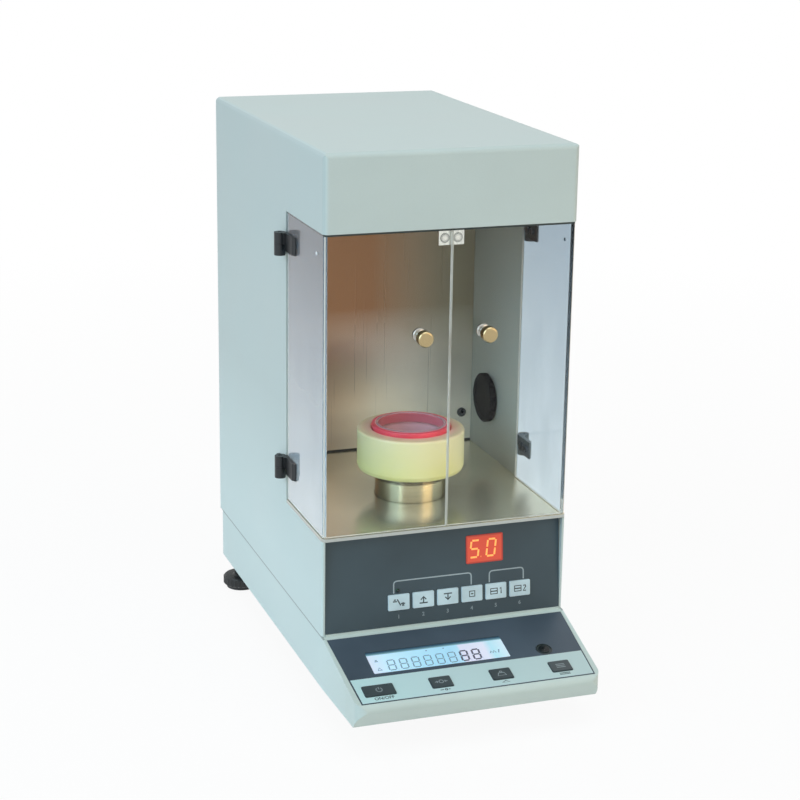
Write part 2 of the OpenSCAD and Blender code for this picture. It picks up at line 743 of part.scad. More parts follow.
column_top = floor_h + column_up;
column_bottom = 24;
rod_x = column_r + 14.5;
frame_top = floor_under - seat;
frame_t = 4;
guide_low = 60;
guide_wall = 4.5;
flange_t = 6;
pilot_r = 11;
motor_hole = 15.5;
motor_len = 33;
leg_x = rod_x + rod_r + 3;
spigot_r = 12;
spigot_h = 4;

module on_axis() {
    translate([0, stage_y, 0]) children();
}

module stage_column() color("#b9a878") on_axis() {
    bore = column_r - column_wall;
    crown = column_top + spigot_h;
    turned([[bore, column_bottom], [column_r, column_bottom], [column_r, column_top - 0.6],
            [column_r - 0.6, column_top], [spigot_r, column_top], [spigot_r, crown - 0.5],
            [spigot_r - 0.5, crown], [0, crown], [0, column_top - 3], [bore, column_top - 3]]);
}

module lift_carriage() color("#8d9296") on_axis() difference() {
    union() {
        translate([0, 0, column_bottom - flange_t]) cylinder(r = column_r - 0.5, h = flange_t);
        translate([0, 0, column_bottom]) cylinder(r = column_r - column_wall - run, h = 8);
        intersection() {
            translate([0, 0, column_bottom - flange_t]) slab(2 * (rod_x + 6), 14, 6.5, 0, flange_t);
            block([-leg_x + 1, -10, 0], [leg_x - 1, 10, housing_h]);
        }
    }
    translate([0, 0, 0]) cylinder(r = screw_r + run, h = housing_h / 2);
    for (x = [-1, 1]) translate([x * rod_x, 0, 0]) cylinder(r = rod_r + run, h = housing_h / 2);
}

module lead_screw() color("#b8bcbe") on_axis() {
    translate([0, 0, -15]) cylinder(r = screw_r, h = 15 + column_top - 24);
    translate([0, 0, column_top - 24]) cylinder(r1 = screw_r, r2 = screw_r - 1, h = 1);
}

module guide_rods() color("#c4c8ca") on_axis() for (x = [-1, 1])
    translate([x * rod_x, 0, 0]) cylinder(r = rod_r, h = frame_top - frame_t);

module column_guide() color("#a98f4e") on_axis() difference() {
    union() {
        translate([0, 0, guide_low]) cylinder(r = column_r + guide_wall, h = frame_top - guide_low);
        translate([0, 0, frame_top - frame_t - 4]) cylinder(r = rod_x - rod_r - 0.6, h = 4);
    }
    translate([0, 0, guide_low - over]) cylinder(r = column_r + run, h = frame_top);
}

leg_t = 3;
leg_w = 60;
leg_foot = 15;
deck_w = 80;

module lift_frame() color("#a2a6a8") on_axis() difference() {
    union() {
        block([-leg_x - leg_t, -deck_w / 2, frame_top - frame_t], [leg_x + leg_t, deck_w / 2, frame_top]);
        both_sides() block([leg_x, -leg_w / 2, 0], [leg_x + leg_t, leg_w / 2, frame_top - frame_t + 0.1]);
        both_sides() block([leg_x, -leg_w / 2, 0], [leg_x + leg_foot, leg_w / 2, leg_t]);
    }
    translate([0, 0, frame_top - frame_t - over])
        cylinder(r = column_r + guide_wall + run, h = frame_t + 2 * over);
    for (x = [-1, 1], y = [-1, 1]) translate([x * (leg_x + 9), y * leg_w / 3, -over])
        cylinder(r = screw_hole, h = leg_t + 2 * over, $fn = 24);
    // windows that lighten the legs
    for (z = [24, 48]) push_x(-leg_x - 2 * over - leg_t, leg_x + 2 * over + leg_t) translate([0, z])
        rounded([-leg_w / 3, -8], [leg_w / 3, 8], [3, 3, 3, 3]);
}

module lift_motor() color("#3c4043") on_axis() translate([0, 0, -base_wall]) difference() {
    union() {
        translate([0, 0, -motor_len]) intersection() {
            slab(motor_w, motor_w, 1, 0, motor_len);
            rotate([0, 0, 45]) slab(motor_w * 1.27, motor_w * 1.27, 1, 0, motor_len);
        }
        translate([0, 0, -1]) cylinder(r = pilot_r, h = 3);
    }
    translate([0, 0, -16]) cylinder(r = screw_r + run, h = 20);
    for (x = [-1, 1], y = [-1, 1]) translate([x * motor_hole, y * motor_hole, -5])
        cylinder(r = screw_hole, h = 6, $fn = 24);
    // the bell housings are a little larger than the laminations between them
    for (a = [0:90:270]) rotate([0, 0, a])
        block([motor_w / 2 - 0.8, -motor_w, -motor_len + 8], [motor_w, motor_w, -9]);
}

module cup_holder() color("#d6dcA6") on_axis() translate([0, 0, column_top]) {
    well_r = dish_r + ring_t + seat;
    seat_r = spigot_r + 0.2;
    seat_h = spigot_h + 0.3;
    turned([[seat_r, 0], [cup_r - 3.5, 0], [cup_r - 1.2, 1.2], [cup_r, 4], [cup_r, cup_h - 1.8],
            [cup_r - 0.6, cup_h - 0.5], [cup_r - 1.8, cup_h], [well_r + 0.8, cup_h], [well_r, cup_h - 0.8],
            [well_r, cup_h - well_d], [0, cup_h - well_d], [0, seat_h], [seat_r, seat_h]]);
}

dish_top = cup_h + ring_proud;
dish_floor = cup_h - well_d;

module sample_dish() color([0.85, 0.93, 0.93, 0.4]) on_axis() translate([0, 0, column_top]) {
    r = dish_r;
    bowl_r = dish_r - dish_wall;
    turned([[0, dish_floor], [r - 2.4, dish_floor], [r - 0.7, dish_floor + 0.7], [r, dish_floor + 2.4],
            [r, dish_top], [r - 0.5, dish_top + 0.4], [bowl_r + 0.5, dish_top + 0.4], [bowl_r, dish_top],
            [bowl_r, dish_floor + 3.6], [bowl_r - 1.6, dish_floor + 2], [0, dish_floor + 2]]);
}

module dish_ring() color("#d5555c") on_axis() translate([0, 0, column_top]) {
    r = dish_r + run;
    outer = dish_r + ring_t - run;
    low = dish_top - ring_h;
    turned([[r, low], [outer - 0.4, low], [outer, low + 0.4], [outer, dish_top - 1],
            [outer - 0.3, dish_top - 0.3], [outer - 1, dish_top], [r, dish_top]]);
}

// ---------------------------------------------------------------- weighing head

sensor_z = hood_z + sheet_t;
beam_w = 14;
beam_h = 16;
beam_up = 14;
hook_r = 1;
hook_bend = 1.7;
hook_drop = 13;

beam_tip = 10;
beam_root = 70;
beam_foot = [32, 32];
flex_x = [14, 30];
flex_r = 5.4;

module force_sensor() color("#b4b8ba") on_axis() translate([0, 0, sensor_z]) difference() {
    union() {
        block([-beam_tip, -beam_w / 2, beam_up], [beam_root, beam_w / 2, beam_up + beam_h]);
        block([beam_root - beam_foot.x, -beam_foot.y / 2, 0], [beam_root, beam_foot.y / 2, beam_up + 0.1]);
    }
    // the two joined bores that let the beam flex
    for (x = flex_x) translate([x, beam_w, beam_up + beam_h / 2]) rotate([90, 0, 0])
        cylinder(r = flex_r, h = 2 * beam_w);
    block([flex_x[0], -beam_w, beam_up + beam_h / 2 - 1.5], [flex_x[1], beam_w, beam_up + beam_h / 2 + 1.5]);
    for (x = [24, 14]) translate([beam_root - x, 0, beam_up + beam_h - 4]) cylinder(r = 2.4, h = 6);
}

module weighing_hook() color("#c4c8ca") on_axis() translate([0, 0, hood_z - hook_drop]) {
    stem_top = hook_drop + sheet_t + beam_up;
    cylinder(r = hook_r, h = stem_top - 3, $fn = 24);
    translate([0, 0, stem_top - 4]) cylinder(r = 3, h = 4);
    // the open hook under the stem
    translate([0, 0, -hook_bend]) rotate([90, 0, 0]) translate([0, 0, 0]) rotate([0, 0, -180])
        rotate_extrude(angle = 270, $fn = 32) translate([hook_bend, 0]) circle(hook_r * 0.8, $fn = 24);
    translate([0, 0, -0.9]) sphere(r = hook_r, $fn = 24);
}

// ---------------------------------------------------------------- electronics

main_board_w = 160;
main_board_h = 130;
main_board_mid = 185;
spacer_h = 8;
main_board_y = chamber_d + sheet_t + spacer_h;

// A chip, relay or plug on the main board: its middle, width, height and depth
module part_on_board(x, z, w, h, d) {
    translate([x, main_board_y + board_t - 0.1, main_board_mid + z]) rotate([-90, 0, 0])
        slab(w, h, 0.5, 0, d);
}

module main_board() color(board) {
    corner = [main_board_w, main_board_h] / 2;
    push_y(main_board_y, main_board_y + board_t) translate([0, main_board_mid])
        rounded(-corner, corner, [2, 2, 2, 2]);
    spacer = corner - [spacer_h, spacer_h];
    for (x = [-1, 1], z = [-1, 1])
        translate([x * spacer.x, chamber_d + sheet_t, main_board_mid + z * spacer.y])
            rotate([-90, 0, 0]) cylinder(r = 3, h = spacer_h + 0.1, $fn = 32);
    part_on_board(-43, 32, 34, 34, 2.1);
    for (x = [18, 44]) part_on_board(x, 29, 16, 16, 1.9);
    part_on_board(-50, -39, 40, 12, 10);
    part_on_board(-6, -37, 28, 24, 16);
    for (i = [0:3]) translate([20 + i * spacer_h * 2, main_board_y, main_board_mid - 35])
        rotate([-90, 0, 0]) cylinder(r = 6, h = 16 + board_t, $fn = 32);
}

supply = [98, 60, 34];
supply_x = side_x - 22 - supply.x;
supply_y = housing_d - 22 - supply.y;

module power_supply() color("#b0b4b2") translate([supply_x, supply_y, 0]) difference() {
    block([0, 0, 0], supply);
    // terminal bay, top slots and edge notches
    block([6, -over, 6], [supply.x - 18, 2, supply.z - 4]);
    for (i = [0:8]) translate([8 + i * 9, supply.y / 2, supply.z])
        slab(3, supply.y * 2 / 3, 1.4, -2, over);
    for (i = [0:4]) translate([supply.x, 4 + i * 10, supply.z]) block([-6, 0, -6], [over, 7, over]);
}

rocker_y = rear_face + 1.2;
rocker_dz = 13.5;
inlet_dz = -10.5;
rocker_w = 13;
rocker_h = 19;
rocker_tilt = 8;
rocker_pin_r = 1.4;

// The power entry module: the inlet below, the switch's frame above, in one flange
module inlet_socket() color("#26292b") translate([power_x, 0, power_z]) difference() {
    union() {
        push_y(rear_face, rear_face + 2) rounded([-17, -28], [17, 28], [3, 3, 3, 3]);
        push_y(rear_face - 20, rear_face + 0.1)
            rounded([-power_w_box / 2 + seat, -power_h_box / 2 + seat],
                    [power_w_box / 2 - seat, power_h_box / 2 - seat], [1.7, 1.7, 1.7, 1.7]);
    }
    difference() {
        push_y(rear_face - 16, rear_face + 2 + over) translate([0, inlet_dz])
            polygon([[-12, -8.2], [12, -8.2], [12, 4.2], [8, 8.2], [-8, 8.2], [-12, 4.2]]);
        for (p = [[-7, -2.5], [0, 1.5], [7, -2.5]])
            translate([p.x, rear_face, inlet_dz + p.y]) block([-1, -17, -2], [1, -2, 2]);
    }
    translate([0, rear_face, rocker_dz])
        block([-rocker_w / 2 - seat, -15, -10.2], [rocker_w / 2 + seat, 2 + over, 10.2]);
}

module power_rocker() color("#1d1f21") translate([power_x, rocker_y - 4, power_z + rocker_dz]) {
    end = rocker_h / 2;
    rotate([-rocker_tilt, 0, 0]) push_x(-rocker_w / 2, rocker_w / 2)
        polygon([[-4, -7], [3.2, -end], [4.6, 0.4 - end], [3.4, 0], [4.6, end - 0.4], [3.2, end],
                 [-4, 7], [-7, 2], [-7, -2]]);
    // the trunnions that it rocks on
    translate([-rocker_w / 2 - seat + run, 0, 0]) rotate([0, 90, 0])
        cylinder(r = rocker_pin_r, h = rocker_w + 2 * (seat - run));
}

module data_port() color("#8d9296") translate([port_x, 0, port_z]) difference() {
    union() {
        push_y(rear_face, rear_face + 1.2) rounded([-16, -8], [16, 8], [2, 2, 2, 2]);
        push_y(rear_face - 12, rear_face + 0.1) rounded([-12, -6], [12, 6], [1.7, 1.7, 1.7, 1.7]);
    }
    push_y(rear_face - 0.8, rear_face + 3) polygon([[-8, -3], [8, -3], [9.5, 3.6], [-9.5, 3.6]]);
}

// A pan-head screw, drawn with its head up
module screw(shank) {
    translate([0, 0, -shank]) cylinder(r = screw_shank, h = shank + 0.1, $fn = 24);
    difference() {
        turned([[0, 0], [screw_head, 0], [screw_head, 0.8], [screw_head - 0.6, 1.5], [0, 1.8]]);
        for (a = [0, 90]) rotate([0, 0, a]) block([-1.5, -0.3, 0.9], [1.5, 0.3, 3]);
    }
}

module case_screws() color("#b7b9b6") {
    for (x = [-1, 1], z = rear_screw_z)
        translate([x * rear_screw_x, rear_face, z]) rotate([-90, 0, 0]) screw(5);
    for (p = base_screws) translate([p.x, p.y, -base_h]) rotate([180, 0, 0]) screw(6);
}

// ---------------------------------------------------------------- knob and feet

lock_flutes = 12;

module lock_knob() color("#2b2d2e") translate([inner_x, lock_y, lock_z]) rotate([0, -90, 0]) difference() {
    union() {
        turned([[0, 0], [lock_r - 3, 0], [lock_r - 2.4, 1], [lock_r, 1.6], [lock_r, lock_t - 1],
                [lock_r - 1, lock_t], [lock_r - 5, lock_t], [lock_r - 6, lock_t - 0.8], [0, lock_t - 0.8]]);
        translate([0, 0, -sheet_t]) cylinder(r = spindle_r, h = sheet_t + 0.1);
    }
    for (i = [0:lock_flutes - 1]) rotate([0, 0, (i + 0.5) * 360 / lock_flutes])
        translate([lock_r + 1.6, 0, -over]) cylinder(r = 3, h = lock_t + 2 * over, $fn = 32);
}

pad_r = 13;
pad_h = 3;
collar_r = 6.2;
front_foot_r = 13;
front_stud_r = 3;

module front_feet() color("#2a2c2d") both_sides()
    translate([foot_front_x, foot_front_y, -base_h - foot_gap])
        turned([[0, 0], [front_foot_r, 0], [front_foot_r + 0.6, 1], [front_foot_r, 9],
                [front_foot_r - 1.4, 10.4], [9, 10.8], [8.4, foot_gap], [front_stud_r, foot_gap],
                [front_stud_r, foot_gap + 3.5], [0, foot_gap + 3.5]]);

module foot_pad() color("#2a2c2d") translate([foot_x, foot_y, -base_h - foot_gap])
    turned([[0, 0], [pad_r, 0], [pad_r, pad_h - 1], [pad_r - 1, pad_h], [0, pad_h]]);

module foot_wheel() color("#1f2122") translate([foot_x, foot_y, -base_h - foot_gap + pad_h]) {
    difference() {
        collar_h = foot_gap - pad_h;
        turned([[0, 0], [wheel_r - 1, 0], [wheel_r, 1], [wheel_r, wheel_h - 1.4], [wheel_r - 1.4, wheel_h],
                [8, wheel_h], [collar_r, wheel_h + 1], [collar_r, collar_h], [0, collar_h]]);
        for (i = [0:23]) rotate([0, 0, i * 15]) translate([wheel_r + 0.9, 0, -over])
            cylinder(r = 1.6, h = wheel_h + 2 * over, $fn = 24);
    }
    cylinder(r = stud_r, h = foot_gap - pad_h + 14);
}

// ---------------------------------------------------------------- drawing

cabinet() base_shell();
cabinet() base_plate();
cabinet() housing_shell();
cabinet() rear_panel();
cabinet() control_panel();
cabinet() console_overlay();
cabinet() chamber_floor();
cabinet() chamber_back();
cabinet() chamber_ceiling();
cabinet() catch_bracket();
cabinet() hinge_blocks();
cabinet() hinge_pins();
cabinet() led_window();
cabinet() led_display();
cabinet() key_board();
cabinet() lcd_window();
cabinet() lcd_display();
cabinet() console_board();
cabinet() level_vial();
cabinet() column_guide();
cabinet() force_sensor();
cabinet() { main_board(); data_port(); }
cabinet() power_supply();
cabinet() lift_motor();
cabinet() lift_frame();
cabinet() guide_rods();
cabinet() inlet_socket();
cabinet() case_screws();
cabinet() front_feet();
cabinet() probe_grommet();
cabinet() mirror([1, 0, 0]) door();  // left_door
cabinet() mirror([1, 0, 0]) door_clamps();  // left_door_clamps
cabinet() mirror([1, 0, 0]) door_knob();  // left_door_knob
cabinet() door();  // right_door
cabinet() door_clamps();  // right_door_clamps
cabinet() door_knob();  // right_door_knob
cabinet() lead_screw();
cabinet() stage_column();
cabinet() lift_carriage();
cabinet() cup_holder();
cabinet() sample_dish();
cabinet() dish_ring();
cabinet() weighing_hook();
cabinet() lift_key(0);  // lift_key_1
cabinet() lift_key(1);  // lift_key_2
cabinet() lift_key(2);  // lift_key_3
cabinet() lift_key(3);  // lift_key_4
cabinet() lift_key(4);  // lift_key_5
cabinet() lift_key(5);  // lift_key_6
cabinet() console_key(0);  // power_key
cabinet() console_key(1);  // tare_key
cabinet() console_key(2);  // cal_key
cabinet() console_key(3);  // mode_key
cabinet() power_rocker();
cabinet() lock_knob();
cabinet() mirror([1, 0, 0]) foot_pad();  // left_foot_pad
cabinet() mirror([1, 0, 0]) foot_wheel();  // left_foot_wheel
cabinet() foot_pad();  // right_foot_pad
cabinet() foot_wheel();  // right_foot_wheel
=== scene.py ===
"""Finishes, printed marks, studio and camera for the bench surface tensiometer."""

import math

import bmesh
import bpy
from bpy.props import FloatProperty, FloatVectorProperty, PointerProperty
from bpy.types import Operator, Panel, PropertyGroup
from mathutils import Matrix, Vector


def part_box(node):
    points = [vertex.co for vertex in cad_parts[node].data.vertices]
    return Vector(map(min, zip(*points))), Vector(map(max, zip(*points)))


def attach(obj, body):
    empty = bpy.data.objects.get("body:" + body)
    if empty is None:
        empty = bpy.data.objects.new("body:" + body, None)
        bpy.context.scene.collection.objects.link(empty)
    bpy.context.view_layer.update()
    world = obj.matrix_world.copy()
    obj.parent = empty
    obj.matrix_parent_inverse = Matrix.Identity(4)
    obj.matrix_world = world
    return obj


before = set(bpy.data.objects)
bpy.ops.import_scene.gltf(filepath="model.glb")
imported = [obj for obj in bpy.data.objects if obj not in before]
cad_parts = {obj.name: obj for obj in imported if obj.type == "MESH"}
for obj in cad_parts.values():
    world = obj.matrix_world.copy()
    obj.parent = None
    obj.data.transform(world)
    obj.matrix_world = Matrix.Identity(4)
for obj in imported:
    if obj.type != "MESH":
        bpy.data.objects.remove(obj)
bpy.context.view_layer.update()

bl_info = {
    "name": "Surface Tensiometer",
    "version": (1, 0, 0),
    "blender": (4, 5, 0),
    "location": "3D View > Sidebar > Tensiometer",
    "description": "Dresses the bench surface tensiometer and sets up its studio",
    "category": "Object",
}


# ------------------------------------------------------------------ places on the instrument
# All in millimetres, apart from the studio and the settings.

MM = 0.001
FRONT_FOOT = Vector((0, -116, 64))  # where the housing's front meets the deck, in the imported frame
CONSOLE_SLOPE = 15.4
PANEL_LEAN = 90 - 5.2


def instrument_frame(x, y, z, lean=0.0):
    """A frame in millimetres with its place counted from the front foot, leant back about X."""
    return (
        Matrix.Translation((Vector((x, y, z)) + FRONT_FOOT) * MM)
        @ Matrix.Rotation(math.radians(lean), 4, "X")
        @ Matrix.Scale(MM, 4)
    )


# On the front x runs right, y is the height above the deck, and z comes towards the viewer.
console = instrument_frame(0, 0, 0, CONSOLE_SLOPE)
upper_panel = instrument_frame(0, 0.9, 2, PANEL_LEAN)
cabinet_front = instrument_frame(0, 0, 0, 90)
stage = Matrix.Translation((0, -0.030, 0))

FILM_TOP, KEY_TOP, LENS_TOP = 0.2, 1.0, 0.3  # height of each face over its frame
LIFT_KEYS = {f"lift_key_{i + 1}": 13 + (i - 2.5) * 20.2 for i in range(6)}
CONSOLE_KEYS = {"power_key": -76.1, "tare_key": -27.0, "cal_key": 21.6, "mode_key": 70.2}
LIFT_KEY_ROW, LIFT_NUMBER_ROW = 19.3, 7.4
CONSOLE_KEY_ROW = -68.0
KEY_BAND = (-80.6, -52.9)  # lower and upper edge of the console's pale band
SPEED_WINDOW = (34, 54.8)
RESULT_WINDOW = (-18.4, -36.2)
LEVEL = (65.6, -45.8)


# Where finishes, painted shade and painted light change, in the imported frame: the outer sides
# lie beyond FLANK, and the housing's inside ends at the next three.
FLANK = 98.5
INNER_FLANK, INNER_TOP, INNER_FRONT = 99.1, 434.5, -111.2
CUP_TOP, RING_BORE = 198.5, 28.7

# Where finishes, painted shade and painted highlights change, on the cabinet's front.
DOOR_BOTTOM, DOOR_TOP, DOOR_REAR = 80.56, 311.4, -97.14
DOOR_BEND, BEND_REAR, PANE_FRONT = 98.0, -2.4, -3.9
BACK_FOOT, TRIM_TOP = 81.6, 79.9
MAGNET = (5.2, 305.4)


# ------------------------------------------------------------------ materials

def linear(code):
    """A colour written as sRGB hex, as the linear numbers that a socket takes."""
    parts = [int(code[i:i + 2], 16) / 255 for i in (0, 2, 4)]
    return tuple(c / 12.92 if c <= 0.04045 else ((c + 0.055) / 1.055) ** 2.4 for c in parts)


def rgba(colour, level=1.0):
    """A colour in hex or linear numbers as a socket takes it, made darker or lighter by a level."""
    parts = linear(colour) if isinstance(colour, str) else colour
    return (*(min(1.0, c * level) for c in parts), 1.0)


def feed(node, inputs):
    """Fills a node's sockets: a socket is linked, a hex colour made linear, the rest set."""
    for name, value in inputs.items():
        target = node.inputs[name]
        if isinstance(value, bpy.types.NodeSocket):
            node.id_data.links.new(value, target)
        else:
            target.default_value = rgba(value) if isinstance(value, str) else value


def add(tree, kind, *inputs, out=0, stops=(), **settings):
    """Adds a node and gives one of its outputs, or all of them where out is None.

    The kind may end in an operation. The inputs come in the sockets' order or as a table, and the
    stops of a colour ramp are its two ends and then the rest.
    """
    kind, _, operation = kind.partition(" ")
    node = tree.nodes.new("ShaderNode" + kind)
    if operation:
        node.operation = operation
    for name, value in settings.items():
        setattr(node, name, value)
    by_table = inputs and isinstance(inputs[0], dict)
    feed(node, inputs[0] if by_table else dict(enumerate(inputs)))
    for i, (at, colour) in enumerate(stops):
        band = node.color_ramp.elements
        stop = band[i] if i < 2 else band.new(at)
        stop.position, stop.color = at, rgba(colour)
    return node.outputs if out is None else node.outputs[out]


def surface(name, colour, roughness=0.5, **sockets):
    """A new material with its one Principled shader."""
    mat = bpy.data.materials.new(name)
    mat.use_nodes = True
    shader = mat.node_tree.nodes["Principled BSDF"]
    feed(shader, {"Base Color": rgba(colour), "Roughness": roughness})
    feed(shader, {socket.replace("_", " "): value for socket, value in sockets.items()})
    return mat, mat.node_tree, shader


def where(tree, size=1000, about=None):
    """Object coordinates from a frame, in steps of one size or of three, given in millimetres."""
    vector = add(tree, "TexCoord", out="Object")
    if about is not None:
        place, turn, _ = about.decompose()
        seat = {"Vector": vector, "Location": place, "Rotation": turn.to_euler()}
        vector = add(tree, "Mapping", seat, vector_type="TEXTURE")
    sizes = size if isinstance(size, tuple) else (size,) * 3
    return add(tree, "Mapping", {"Vector": vector, "Scale": [1 / (step * MM) for step in sizes]})


def measured(tree, about=None):
    """How far a point lies along x, y and z of a frame, in millimetres."""
    return add(tree, "SeparateXYZ", where(tree, 1, about), out=None)


def from_axis(tree, x, y):
    """Distance from the axis that x and y are counted from."""
    return add(tree, "VectorMath LENGTH", add(tree, "CombineXYZ", x, y), out="Value")


def patches(tree, spot, detail=2, low=0.3, high=0.7, rough=0.5):
    """Soft patches one step across, from 0 where the noise is low to 1 where it is high."""
    noise = {"Vector": spot, "Scale": 1, "Detail": detail, "Roughness": rough}
    return add(tree, "MapRange", add(tree, "TexNoise", noise), low, high, 0, 1)


def relief(tree, spot, depth, detail=2):
    """Normals of a grain one step across and this many millimetres deep."""
    height = add(tree, "TexNoise", {"Vector": spot, "Scale": 1, "Detail": detail})
    return add(tree, "Bump", {"Height": height, "Distance": depth * MM})


def coats(tree, ground, *layers):
    """A colour in layers. Each ends in its colour, and the masks before that are multiplied."""
    for *masks, colour in layers:
        amount = masks[0]
        for mask in masks[1:]:
            amount = add(tree, "Math MULTIPLY", amount, mask)
        ground = add(tree, "Mix", {0: amount, 6: ground, 7: colour}, out=2, data_type="RGBA")
    return ground


def washed(mat, *layers):
    """Lays more layers of colour over a finish."""
    shader = mat.node_tree.nodes["Principled BSDF"]
    ground = shader.inputs["Base Color"].links[0].from_socket
    feed(shader, {"Base Color": coats(mat.node_tree, ground, *layers)})
    return mat


def powder_coat(name, colour, inside=None):
    """Polyester powder baked on steel: satin, with a fine orange peel and a slow drift of tone.

    The flanks show the joint of housing and base, and painted shade darkens them upwards while
    painted light makes them paler low down. The speckle and the peel are drawn about twice as
    coarse as real, so that they show.
    """
    mat, tree, shader = surface(name, colour, 0.42, Specular_IOR_Level=0.45)
    drift = patches(tree, where(tree, 110), 3)
    speck = patches(tree, where(tree, 0.7), 1, 0.35, 0.65)
    x, y, z = measured(tree)
    aside = add(tree, "Math ABSOLUTE", x)
    flank = add(tree, "Math GREATER_THAN", aside, FLANK)
    tone = coats(
        tree, rgba(colour, 0.955), (drift, rgba(colour, 1.03)), (speck, 0.1, rgba(colour, 0.82)),
        # Painted shade darkens the flanks upwards and painted light makes them paler low down; the
        # dark line is the joint of housing and base.
        (flank, add(tree, "MapRange", z, 60, 430, 0, 0.5), rgba(colour, 0.78)),
        (flank, add(tree, "MapRange", z, 220, 90, 0, 0.9),
         add(tree, "MapRange", y, -170, -110, 0.2, 1), "d1e2df"),
        (flank, add(tree, "Math COMPARE", z, FRONT_FOOT.z, 0.6), 0.5, "39413f"),
    )
    # The housing's inside faces take a darker grey: painted shade where little light reaches.
    if inside is not None:
        _, facing, _ = add(tree, "SeparateXYZ", add(tree, "NewGeometry", out="Normal"), out=None)
        tone = coats(tree, tone, (
            add(tree, "Math LESS_THAN", aside, INNER_FLANK),
            add(tree, "Math LESS_THAN", z, INNER_TOP),
            add(tree, "Math GREATER_THAN", y, INNER_FRONT),
            add(tree, "Math GREATER_THAN", facing, -0.9), inside,
        ))
    feed(shader, {
        "Base Color": tone,
        "Roughness": add(tree, "MapRange", drift, 0, 1, 0.37, 0.47),
        "Normal": relief(tree, where(tree, 1.1), 0.03),
    })
    return mat


def moulded(name, colour, roughness=0.45, texture=0.55, depth=0.03, **sockets):
    """Moulded plastic or rubber: satin, faintly clouded, with its mould's fine texture.

    The texture is drawn a few times coarser than real, so that it shows.
    """
    mat, tree, shader = surface(name, colour, roughness, **sockets)
    cloud = patches(tree, where(tree, 17), 3)
    feed(shader, {
        "Base Color": coats(tree, rgba(colour, 0.88), (cloud, rgba(colour, 1.1))),
        "Roughness": add(tree, "MapRange", cloud, 0, 1, roughness - 0.06, roughness + 0.06),
        "Normal": relief(tree, where(tree, texture), depth),
    })
    return mat


def smeared(tree, shader, axis, amount):
    """Draws glints out across scratches that lie round this axis."""
    tangent = add(tree, "Tangent", direction_type="RADIAL", axis=axis)
    feed(shader, {"Anisotropic": amount, "Tangent": tangent})


def brushed(name, colour, scratch, roughness=0.3, contrast=0.12, smear=None, metal=1.0):
    """Sheet metal ground one way: streaks of this size along x, y and z, on a faintly wavy sheet.

    Real scratches are about 0.1 mm wide, and are drawn in bundles of a millimetre or more.
    """
    mat, tree, shader = surface(name, colour, roughness, Metallic=metal)
    line = patches(tree, where(tree, scratch), 3)
    wave = patches(tree, where(tree, 70))
    spread = contrast / 3
    feed(shader, {
        "Base Color": coats(tree, rgba(colour, 1 - contrast), (line, rgba(colour, 1 + contrast)),
                            (wave, contrast, rgba(colour, 0.75))),
        "Roughness": add(tree, "MapRange", line, 0, 1, roughness - spread, roughness + spread),
        "Normal": add(tree, "Bump", {"Height": wave, "Distance": 0.12 * MM}),
    })
    if smear:
        smeared(tree, shader, smear, 0.75)
    return mat


def back_wall():
    """Satin stainless, its colour a painted reflection of the room: straw-brown on the left, greyer
    on the right and paler low down, with painted shade dark at its foot.
    """
    # The straw-brown colour is a painted reflection of the room.
    mat = brushed("back_satin_steel", "906644", (1.4, 250, 250), 0.28, 0.02, "Z", 0.8)
    tree = mat.node_tree
    x, y, _ = measured(tree, cabinet_front)
    # The pale tone low down is a painted reflection of the floor and the front.
    pale = coats(tree, rgba("e6b080"), (add(tree, "MapRange", x, -90, 10, 0, 1), "fbf8ec"))
    feed(tree.nodes["Principled BSDF"], {"Metallic": add(tree, "MapRange", y, 205, 115, 0.8, 0.35)})
    # Painted reflection makes the wall greyer to the right and paler low down, and painted shade
    # darkens its foot where it meets the floor.
    return washed(
        mat,
        (add(tree, "MapRange", x, 5, 80, 0, 0.9), "9c967e"),
        (add(tree, "MapRange", y, 205, 115, 0, 0.9), pale),
        (add(tree, "Math LESS_THAN", y, BACK_FOOT), "2c2a26"),
    )


def floor_steel():
    """Stainless ground from front to back: paler to the right by a painted reflection, darker round
    the stage by a painted shadow, and greyer on its folded trim.
    """
    mat = brushed("floor_stainless", "d4d5c8", (1.4, 250, 250), 0.24, 0.03, "Y", 0.82)
    tree = mat.node_tree
    x, y, _ = measured(tree, cabinet_front)
    stage_x, stage_y, _ = measured(tree, stage)
    # Painted shadow of the stage on the floor, fading out from its axis.
    near = add(tree, "MapRange", from_axis(tree, stage_x, stage_y), 34, 74, 0.4, 0)
    # Painted reflection makes the floor paler and warmer to the right.
    return washed(
        mat,
        (add(tree, "MapRange", x, 0, 60, 0, 0.9), "f4ecd4"),
        (near, "6a6244"),
        (add(tree, "Math LESS_THAN", y, TRIM_TOP), "b4bab6"),
    )


def catch_steel():
    """Nickel-plated steel: bright, with two magnets set in duller rings, each brightened by a painted
    highlight towards its centre.
    """
    mat = brushed("catch_bright_steel", "dcdcd4", (1.1, 33, 33), 0.2)
    tree = mat.node_tree
    x, y, _ = measured(tree, cabinet_front)
    across = add(tree, "Math SUBTRACT", add(tree, "Math ABSOLUTE", x), MAGNET[0])
    radius = from_axis(tree, across, add(tree, "Math SUBTRACT", y, MAGNET[1]))
    return washed(
        mat,
        (add(tree, "Math LESS_THAN", radius, 3.8), "a2a49e"),
        # Painted highlight on each magnet, brightest at its centre.
        (add(tree, "MapRange", radius, 3.1, 1.2, 0, 0.85), "e4e2da"),
    )


